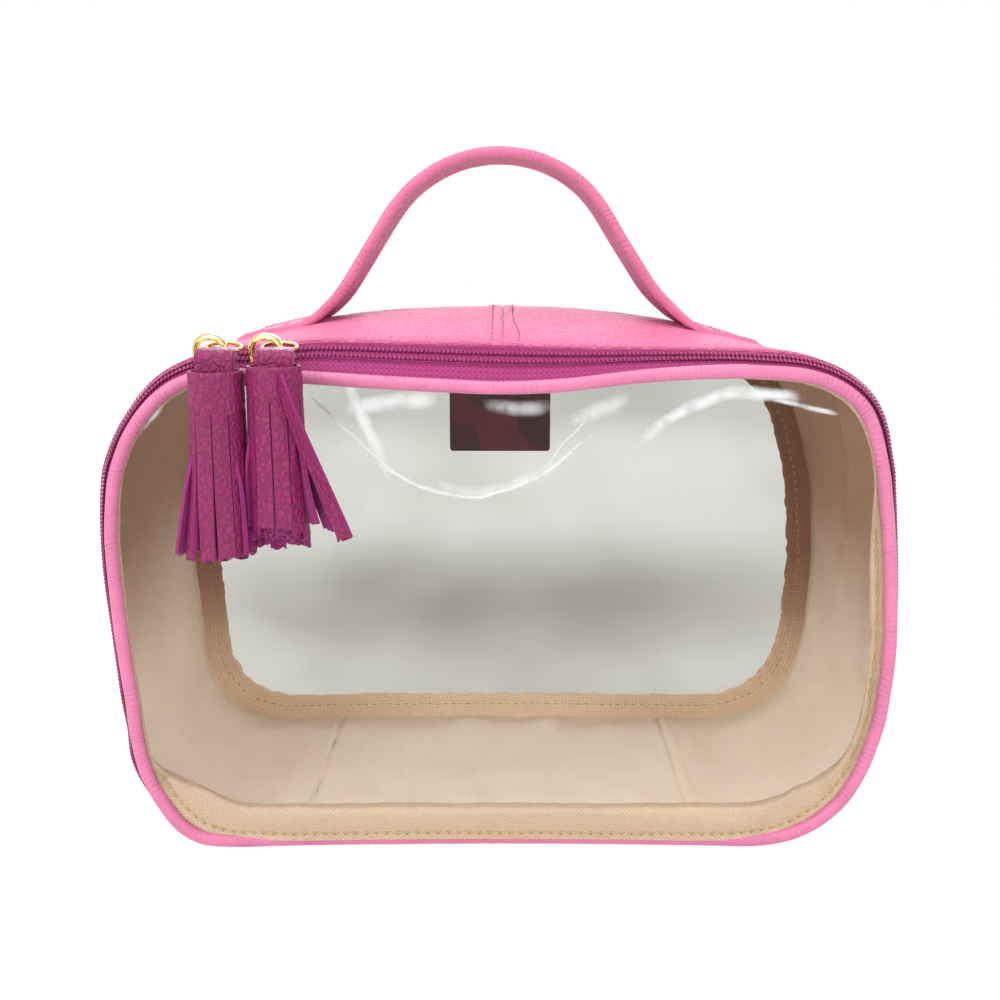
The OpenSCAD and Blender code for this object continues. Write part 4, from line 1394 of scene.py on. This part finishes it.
class CASE_OT_hardware(bpy.types.Operator):
    """Builds both sliders with their arches, and both jump rings"""
    bl_idname = "train_case.hardware"
    bl_label = "Sliders and rings"

    def execute(self, context):
        for side, body in (("left", "lid"), ("right", "zip_slider_right")):
            place = chain_frame(middle(f"slider_{side}", 0))
            shell = Shell()
            low, high = 1.6, 2.7
            rounded_plate(shell, place, slider_outline(4.8, 4.1),
                          [(low, 0.3), (low + 0.2, 0), (high - 0.35, 0), (high - 0.1, 0.15),
                           (high, 0.5)])
            for aside in (3.75, -3.75):
                wall = [(a, f + aside) for a, f in slider_outline(4.2, 0.38)]
                rounded_plate(shell, place, wall, [(0.4, 0.1), (0.6, 0), (1.9, 0)])
            rounded_plate(shell, place, slider_outline(1.9, 0.38), [(-1.4, 0), (2.0, 0)])
            rounded_plate(shell, place, slider_outline(3.3, 3.0),
                          [(-2.1, 0.3), (-1.95, 0), (-1.25, 0), (-1.05, 0.3)])
            shell.piece(f"slider_{side}_body", ["gold_metal"], body, "gold_metal",
                        [f"slider_{side}"])
            self.arch(side, body, place)
            self.ring(side)
        return {"FINISHED"}

    def arch(self, side, body, place):
        """A bowed band over the slider, wider at its crown, that holds the ring."""
        rings = []
        base, rise, half, thick = 2.4, 5.45, 4.3, 0.95
        for i in range(33):
            t = math.pi * i / 32
            c, s = math.cos(t), math.sin(t)
            along = -half * math.copysign(abs(c) ** 0.78, c)
            out = base + rise * abs(s) ** 0.72
            wide = 1.8 + 0.4 * s
            heading = Vector((half * abs(s) + 0.02, 0, rise * c * 0.9)).normalized()
            normal = Vector((-heading.z, 0, heading.x))
            ring = []
            for j in range(14):
                a = 2 * math.pi * j / 14
                ca, sa = math.cos(a), math.sin(a)
                spot = Vector((along, wide * math.copysign(abs(ca) ** 0.8, ca), out)) + normal * 0.15
                ring.append(place @ (spot + normal * thick * sa * (1 - 0.35 * ca ** 2)))
            rings.append(ring)
        shell = Shell()
        shell.skin(rings)
        shell.piece(f"slider_arch_{side}_band", ["gold_metal"], body, "gold_metal",
                    [f"slider_arch_{side}"])

    def ring(self, side):
        """A round wire ring with the small cut where it was closed."""
        node = f"jump_ring_{side}"
        low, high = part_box(node)
        centre = (low + high) / 2 / MM
        tilt = Matrix.Rotation(math.radians(13), 3, "X")
        radius, wire = 5.0, 0.55
        cut = math.radians(248)
        path = []
        for i in range(49):
            t = cut + math.radians(2.2) + (2 * math.pi - math.radians(4.4)) * i / 48
            path.append(centre + tilt @ Vector((radius * math.cos(t), radius * math.sin(t), 0)))
        rings = []
        upward = tilt @ Vector((0, 0, 1))
        for here in path:
            outward = (here - centre).normalized()
            rings.append(circle(here, outward, upward, wire, 12))
        shell = Shell()
        shell.skin(rings)
        shell.piece(f"ring_{side}_wire", ["gold_metal"], f"pull_ring_{side}", "gold_metal", [node])


# ---- tassels ----


def strip_rings(centre, spec, rng, thick):
    """Rings of one leather strip: it hangs, bends out, turns on itself and ends uneven."""
    angle, radius, width = spec["angle"], spec["radius"], spec["width"]
    top, bottom = spec["top"], spec["bottom"]
    flare, sway, turn = spec.get("flare", 0.4), spec.get("sway", 0.0), spec.get("turn", 0.0)
    across = 6
    ends = [rng.uniform(-0.55, 0.45) for _ in range(across + 1)]
    wave = rng.uniform(0, 6.28)
    rings = []
    for z in run_of(top, bottom, 2.0):
        t = (top - z) / (top - bottom)
        out = math.radians(angle)
        bulge = 0.35 * math.sin(wave + t * 5) * t
        reach = radius + flare * t ** 1.4 + bulge
        shift = sway * t ** 1.7
        spin = math.radians(turn) * ease(t * 1.6)
        middle_point = centre + Vector((reach * math.cos(out) + shift, reach * math.sin(out), 0))
        middle_point += Vector((0, spec.get("lean", 0.0) * t ** 1.5, 0))
        tangent = Vector((-math.sin(out + spin), math.cos(out + spin), 0))
        normal = Vector((math.cos(out + spin), math.sin(out + spin), 0))
        curl = 1 - 0.75 * t
        outer, inner = [], []
        for j in range(across + 1):
            a = (j / across - 0.5) * width * (1 - 0.05 * math.sin(3 * t + wave))
            bow = -(a * a) / (2 * radius) * curl
            fray = ends[j] * (1 if t > 0.999 else 0)
            spot = middle_point + tangent * a + normal * bow + Vector((0, 0, z + fray))
            outer.append(spot)
            inner.append(spot - normal * thick)
        rings.append(outer + inner[::-1])
    return rings


# Strips turned out of each tassel: direction, reach and width, length below the cap's top, and
# how they spread, sway, turn and lean on their way down
TASSEL_EXTRAS = {
    "left": [
        dict(angle=-160, radius=6.8, width=4.6, drop=50, flare=1.0, sway=-4.2, turn=-50),
        dict(angle=-178, radius=6.6, width=4.6, drop=51.5, flare=1.0, sway=-4.6, turn=-20),
        dict(angle=-26, radius=6.6, width=4.6, drop=50.5, flare=0.6, turn=64),
    ],
    "right": [
        dict(angle=-166, radius=6.8, width=4.4, drop=44, flare=0.6, sway=-0.8, turn=-50),
        dict(angle=-20, radius=6.6, width=4.4, drop=43.5, flare=1.0, sway=3.6, turn=58, lean=-0.4),
        dict(angle=-2, radius=6.6, width=4.6, drop=46, flare=2.2, sway=5.8, turn=40, lean=0.3),
    ],
}
# How far each tassel's cut end stands above the lowest strip, how steeply the cut slopes up
# towards the front, and how much shorter its uncut cap is
TASSEL_CUT = {"left": (0.0, 0.06, 0.0), "right": (3.4, 0.6, 2.1)}


class CASE_OT_tassels(bpy.types.Operator):
    """Builds both tassels: tab, cap, cut strips and the inner roll"""
    bl_idname = "train_case.tassels"
    bl_label = "Tassels"

    def execute(self, context):
        sizes = context.scene.tassel_sizes
        for side, seed in (("left", 5), ("right", 11)):
            rng = random.Random(seed)
            centre = Vector((middle(f"tassel_wrap_{side}", 0), middle(f"tassel_wrap_{side}", 1), 0))
            top = span(f"tassel_wrap_{side}", 2)[1]
            bottom = span(f"tassel_fringe_{side}", 2)[0] + TASSEL_CUT[side][0]
            body = f"tassel_{side}"
            self.cap(side, body, centre, top, sizes)
            self.strips(side, body, centre, top, bottom, sizes, rng)
            self.roll(side, body, centre, top, bottom, rng)
            self.tab(side, body, centre, top)
        return {"FINISHED"}

    def cap(self, side, body, centre, top, sizes):
        """The uncut leather that is rolled round and holds the strips."""
        radius, height = sizes.across / MM / 2, sizes.cap / MM - TASSEL_CUT[side][2]
        low = top - height
        profile = [(radius - 1.1, low - 0.3), (radius - 0.1, low), (radius + 0.05, low + 3),
                   (radius, low + 6), (radius - 0.08, top - 1.2), (radius - 0.12, top - 0.35),
                   (radius - 0.4, top - 0.02), (radius - 0.95, top - 0.05),
                   (radius - 1.2, top - 0.5), (radius - 1.5, top - 1.3), (radius - 3, top - 1.0),
                   (radius - 4.5, top - 1.4), (0.4, top - 1.3)]
        turns = 48
        rings = []
        for reach, z in profile:
            ring = []
            for j in range(turns):
                a = 2 * math.pi * j / turns
                lump = 0.12 * soft_noise(math.cos(a) * 6, math.sin(a) * 6 + centre.x, z, 5)
                lap = 0.55 * ease((a - 5.35) / 0.1) * ease((6.28 - a) / 0.9) if reach > 5.5 else 0
                size = reach + lump + lap
                ring.append(centre + Vector((size * math.cos(a), size * math.sin(a), z)))
            rings.append(ring)
        shell = Shell()
        shell.skin(rings)
        shell.piece(f"tassel_{side}_cap", ["tassel_leather"], body, "tassel_leather",
                    [f"tassel_wrap_{side}"])

    def strips(self, side, body, centre, top, bottom, sizes, rng):
        """Strips in two layers round the roll, some turned to show their suede."""
        radius, thick = sizes.across / MM / 2, sizes.strip / MM
        start = top - sizes.cap / MM + TASSEL_CUT[side][2] + 0.6
        slope = TASSEL_CUT[side][1]
        count = sizes.strips
        shell = Shell()
        across = 6
        sides = [0] * across + [1] * (across + 2)

        def finish_of(j):
            return 1 if j < 0 else sides[j]

        specs = []
        for k in range(count):
            angle = 360 * (k + 0.5) / count - 90
            forward = -math.sin(math.radians(angle))
            spread = 2.4 * max(0.0, -math.cos(math.radians(angle))) * (side == "left")
            specs.append(dict(
                angle=angle, radius=radius + 0.05, width=2 * math.pi * radius / count - 0.42,
                top=start, bottom=bottom + slope * radius * forward + rng.uniform(-0.5, 0.8),
                flare=rng.uniform(0.1, 0.7) + spread, sway=rng.uniform(-0.25, 0.25),
                turn=rng.uniform(-5, 5)))
        inner = radius - 1.5
        for k in range(count - 1):
            angle = 360 * k / (count - 1) - 60
            forward = -math.sin(math.radians(angle))
            specs.append(dict(
                angle=angle, radius=inner, width=2 * math.pi * inner / (count - 1) - 0.5, top=start,
                bottom=bottom + slope * inner * forward + rng.uniform(-0.7, 0.9),
                flare=rng.uniform(0.0, 0.5), turn=rng.uniform(-12, 12)))
        for extra in TASSEL_EXTRAS[side]:
            extra = dict(extra, top=start, bottom=top - extra["drop"])
            specs.append(extra)
        for spec in specs:
            shell.skin(strip_rings(centre, spec, rng, thick), finish_of=finish_of)
        if side == "right":
            self.stray(shell, finish_of, thick, rng)
        shell.piece(f"tassel_{side}_strips", ["tassel_leather", "tassel_suede"], body,
                    "tassel_leather", [f"tassel_fringe_{side}"])

    def stray(self, shell, finish_of, thick, rng):
        """One long strip that has sprung out of the right tassel."""
        path = [(-58.8, -68.5, 149.5), (-58.2, -69.1, 146), (-56.4, -69.6, 140), (-53.4, -69.4, 132),
                (-50.0, -68.6, 123), (-46.8, -67.6, 114.5), (-44.4, -66.8, 108), (-43.0, -66.4, 104)]
        rings = []
        for i in range(29):
            share = i / 28 * (len(path) - 1)
            k = min(int(share), len(path) - 2)
            between = ease(share - k) * 0.4 + 0.6 * (share - k)
            here = Vector(path[k]).lerp(Vector(path[k + 1]), between)
            t = i / 28
            spin = math.radians(-58 + 42 * t)
            tangent = Vector((math.cos(spin), math.sin(spin), 0.25 * math.cos(spin)))
            normal = Vector((math.sin(spin), -math.cos(spin), 0.15))
            width = 4.3 * min(1, 0.25 + t * 4)
            outer = []
            for j in range(7):
                a = (j / 6 - 0.5) * width
                fray = Vector((0, 0, rng.uniform(-0.8, 0.5))) if i == 28 else Vector()
                outer.append(here + tangent * a + fray)
            rings.append(outer + [spot - normal * thick for spot in reversed(outer)])
        shell.skin(rings, finish_of=finish_of)

    def roll(self, side, body, centre, top, bottom, rng):
        """The rolled inner turns, seen from below as a spiral."""
        turns, count = 2.6, 84
        line, inner = [], []
        for i in range(count + 1):
            a = 2 * math.pi * turns * i / count
            reach = 0.9 + 4.3 * i / count
            line.append((reach * math.cos(a), reach * math.sin(a)))
            inner.append(((reach - 0.95) * math.cos(a), (reach - 0.95) * math.sin(a)))
        outline = line + inner[::-1]
        fray = [rng.uniform(-0.5, 0.5) for _ in outline]
        rings = []
        slope = TASSEL_CUT[side][1]
        for z in run_of(top - 2, bottom + 0.4, 6):
            share = (top - 2 - z) / (top - 2 - bottom - 0.4)
            last = 0.6 if share > 0.999 else 0.0
            rings.append([centre + Vector((x, y, z - slope * y * share + fray[i] * last))
                          for i, (x, y) in enumerate(outline)])
        shell = Shell()
        shell.skin(rings)
        shell.piece(f"tassel_{side}_roll", ["tassel_suede"], body, "tassel_leather",
                    [f"tassel_core_{side}"])

    def tab(self, side, body, centre, top):
        """The folded leather tab that runs from the ring down into the cap."""
        loop_z = 153.79
        front, back = 62.2, 60.0
        wide = 10.6
        line = [(48.2, loop_z - 0.4), (48.4, loop_z + 1.1), (49.7, loop_z + 1.75),
                (52, loop_z + 1.7), (56, loop_z + 1.75), (59.5, loop_z + 1.7),
                (61.3, loop_z + 1.2),
                (front - 0.15, loop_z + 0.1), (front, loop_z - 1.6), (front + 0.1, top - 0.5),
                (front, top - 3.5), (back, top - 3.5), (back, top), (back - 0.4, loop_z - 1.2),
                (58.2, loop_z - 0.7), (54, loop_z - 0.75), (51.5, loop_z - 0.9),
                (50, loop_z - 1.4), (48.8, loop_z - 1.2)]
        rings = []
        for share in (-1, -0.97, -0.5, 0, 0.5, 0.97, 1):
            inset = 0.25 if abs(share) == 1 else 0
            cv = sum(v for v, _ in line) / len(line)
            ring = []
            for v, z in line:
                skew = 0.2 * math.sin(share * 2 + z)
                narrow = 4.3 if v < 51.5 else wide
                width = narrow + (wide - narrow) * ease((v - 51.0) / 2.5)
                ring.append(Vector((
                    centre.x - 1.4 * ease((54 - v) / 4) + share * width / 2,
                    -(v - math.copysign(inset, v - cv)),
                    z - inset * 0.5 + 0.1 * skew)))
            rings.append(ring)
        shell = Shell()
        shell.skin(rings, finish_of=lambda j: 1 if j < 0 or j > 10 else 0)
        shell.piece(f"tassel_{side}_tab", ["tassel_leather", "tassel_suede"], body,
                    "tassel_leather", [f"tassel_tab_{side}"])


# ---- handle ----

# Heights between which the strap would bend when it tilts, in metres; nothing in this script bends
# it
BEND_LOW = 0.158
BEND_HIGH = 0.172


def handle_line(sizes):
    """Centreline of the strap as (x, z, landed), from the left foot over to the right."""
    radius = 41.3
    arch_z = sizes.top / MM - 2 - radius
    lean = math.radians(57.4)
    half = []
    for i in range(13):
        t = math.radians(90) - (math.radians(90) - (math.pi / 2 - lean)) * i / 12
        half.append((radius * math.cos(t), arch_z + radius * math.sin(t), 0.0))
    x, z, _ = half[-1]
    drop = z - 173
    for share in (0.33, 0.66, 1.0):
        half.append((x + drop * share / math.tan(lean), z - drop * share, 0.0))
    x, z, _ = half[-1]
    bend, foot = (55.4, 160.8), (67.5, 159.0)
    for i in range(1, 9):
        t = i / 8
        half.append(((1 - t) ** 2 * x + 2 * t * (1 - t) * bend[0] + t * t * foot[0],
                     (1 - t) ** 2 * z + 2 * t * (1 - t) * bend[1] + t * t * foot[1],
                     ease((t - 0.35) / 0.65)))
    for x in (70.5, 73.5, 76.5, 79.5, 81.2, 82.2):
        half.append((x, 159.0, 1.0))
    left = [(-x, z, landed) for x, z, landed in reversed(half[1:])]
    right = [(x - 1.4 * math.sin(math.pi * min(1, max(0, (212 - z) / 54))) * (1 - landed), z, landed)
             for x, z, landed in half]
    return left + right


def strap_outline(width, edge, web, flat):
    """Half thicknesses across the strap: rolled edges with a thinner web between them."""
    places = []
    half, roll = width / 2, edge / 2
    heart = half - roll
    for i in range(41):
        y = -half + width * i / 40
        y = half * math.sin(math.pi / 2 * (y / half)) if abs(y) > heart - 1 else y
        gap = abs(y) - heart
        round_part = math.sqrt(max(0.0, roll ** 2 - gap ** 2)) if gap > -roll else 0.0
        valley = web / 2 - 0.22 * math.exp(-((abs(y) - (heart - roll - 0.5)) / 0.7) ** 2)
        thick = max(round_part, valley * (1 if gap < 0 else 0))
        places.append((y, thick * (1 - 0.3 * flat)))
    return places


class CASE_OT_handle(bpy.types.Operator):
    """Builds the padded strap handle with its sewn feet, and the cords in its rolled edges"""
    bl_idname = "train_case.handle"
    bl_label = "Handle"

    def execute(self, context):
        sizes = context.scene.handle_sizes
        line = handle_line(sizes)
        width, edge, web = sizes.width / MM, sizes.edge / MM, sizes.web / MM
        rings, cords = [], {-1: [], 1: []}
        for i, (x, z, landed) in enumerate(line):
            a, b = line[max(0, i - 1)], line[min(len(line) - 1, i + 1)]
            heading = Vector((b[0] - a[0], 0, b[1] - a[1])).normalized()
            normal = Vector((-heading.z, 0, heading.x))
            last = abs(x) > 62
            taper = 1 - 0.5 * ease((abs(x) - 79) / 3.4)
            flare = 1 + 0.14 * ease((abs(x) - 58) / 16)
            outline = strap_outline(width, edge, web, landed)
            upper, lower = [], []
            for y, thick in outline:
                y *= flare
                soft = 0.12 * soft_noise(x, y, z, 5)
                for sign, side in ((1, upper), (-1, lower)):
                    spot = Vector((x, y, z)) + normal * (sign * (thick * taper + soft))
                    if landed:
                        seat = slump(spot.x, y, SEAT_Z)
                        lift = (thick * taper + soft) * (1 + sign) + 0.12
                        settled = Vector((spot.x, y, seat.z + lift))
                        spot = spot.lerp(settled, landed)
                    side.append(spot)
            rings.append(upper + lower[::-1])
            if not last:
                for side in (-1, 1):
                    y = side * (width - edge) / 2
                    spot = Vector((x, y * flare, z))
                    if landed:
                        spot.z += (slump(x, y, SEAT_Z).z + 1.3 - z) * landed
                    cords[side].append(spot)
        shell = Shell()
        rolled = (edge * 0.9) / width * 40

        def finish_of(j):
            return 1 if min(j % 41, 40 - j % 41) < rolled else 0

        shell.skin(rings, finish_of=finish_of)
        strap = shell.piece("handle_padded_strap", ["handle_leather", "rolled_leather"], "handle",
                            "pink_leather", ["handle_strap", "handle_tab_left", "handle_tab_right"],
                            ride=False)
        start, end = (0, 0, BEND_LOW), (0, 0, BEND_HIGH)
        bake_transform(strap)
        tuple(start)
        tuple(end)
        for side, word in ((-1, "front"), (1, "back")):
            shell = Shell()
            shell.tube(cords[side], 0.9, 8)
            cord = shell.piece(f"handle_{word}_filler", ["cotton_cord"], "handle", "cotton_cord",
                               [f"handle_cord_{word}"], ride=False)
            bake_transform(cord)
            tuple(start)
            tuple(end)
        self.stitches()
        return {"FINISHED"}

    def stitches(self):
        """The box of stitches that holds each foot."""
        boxes = []
        for side in (-1, 1):
            corners = [(69, -10), (79, -10), (79, 10), (69, 10), (69, -10)]
            path = []
            for (x0, y0), (x1, y1) in zip(corners, corners[1:]):
                for share in run_of(0, 1, 0.2):
                    x, y = side * (x0 + (x1 - x0) * share), y0 + (y1 - y0) * share
                    seat = slump(x, y, SEAT_Z)
                    path.append((Vector((seat.x, y, seat.z + 1.72)), Vector((0, 0, 1))))
            boxes.append(path)
        row("handle_box_stitch", boxes, "pink_thread", "case", "pink_leather", Pitch=3.0,
            Length=2.0, Width=0.5, Height=0.45, Wander=0.08)


# ---- panel, registration and the run ----


STEPS = (CASE_OT_stage, CASE_OT_band, CASE_OT_lining, CASE_OT_piping, CASE_OT_binding,
         CASE_OT_windows, CASE_OT_zipper, CASE_OT_hardware, CASE_OT_tassels, CASE_OT_handle)
GROUPS = (("case_sizes", CaseSizes), ("tassel_sizes", TasselSizes),
          ("handle_sizes", HandleSizes), ("case_colours", CaseColours))


class CASE_PT_panel(bpy.types.Panel):
    """Lists the sizes, the colours and the pieces in the order that they are built"""
    bl_idname = "CASE_PT_panel"
    bl_label = "Train Case"
    bl_space_type = "VIEW_3D"
    bl_region_type = "UI"
    bl_category = "Train Case"

    def draw(self, context):
        for name, group in GROUPS:
            box = self.layout.box()
            for key in group.__annotations__:
                box.prop(getattr(context.scene, name), key)
        for step in STEPS:
            self.layout.operator(step.bl_idname)


def register():
    for _, group in GROUPS:
        bpy.utils.register_class(group)
    for name, group in GROUPS:
        setattr(bpy.types.Scene, name, bpy.props.PointerProperty(type=group))
    for step in STEPS:
        bpy.utils.register_class(step)
    bpy.utils.register_class(CASE_PT_panel)


def unregister():
    bpy.utils.unregister_class(CASE_PT_panel)
    for step in reversed(STEPS):
        bpy.utils.unregister_class(step)
    for name, group in reversed(GROUPS):
        delattr(bpy.types.Scene, name)
        bpy.utils.unregister_class(group)


def main():
    register()
    for step in STEPS:
        group, name = step.bl_idname.split(".")
        getattr(getattr(bpy.ops, group), name)()


if __name__ == "__main__":
    main()
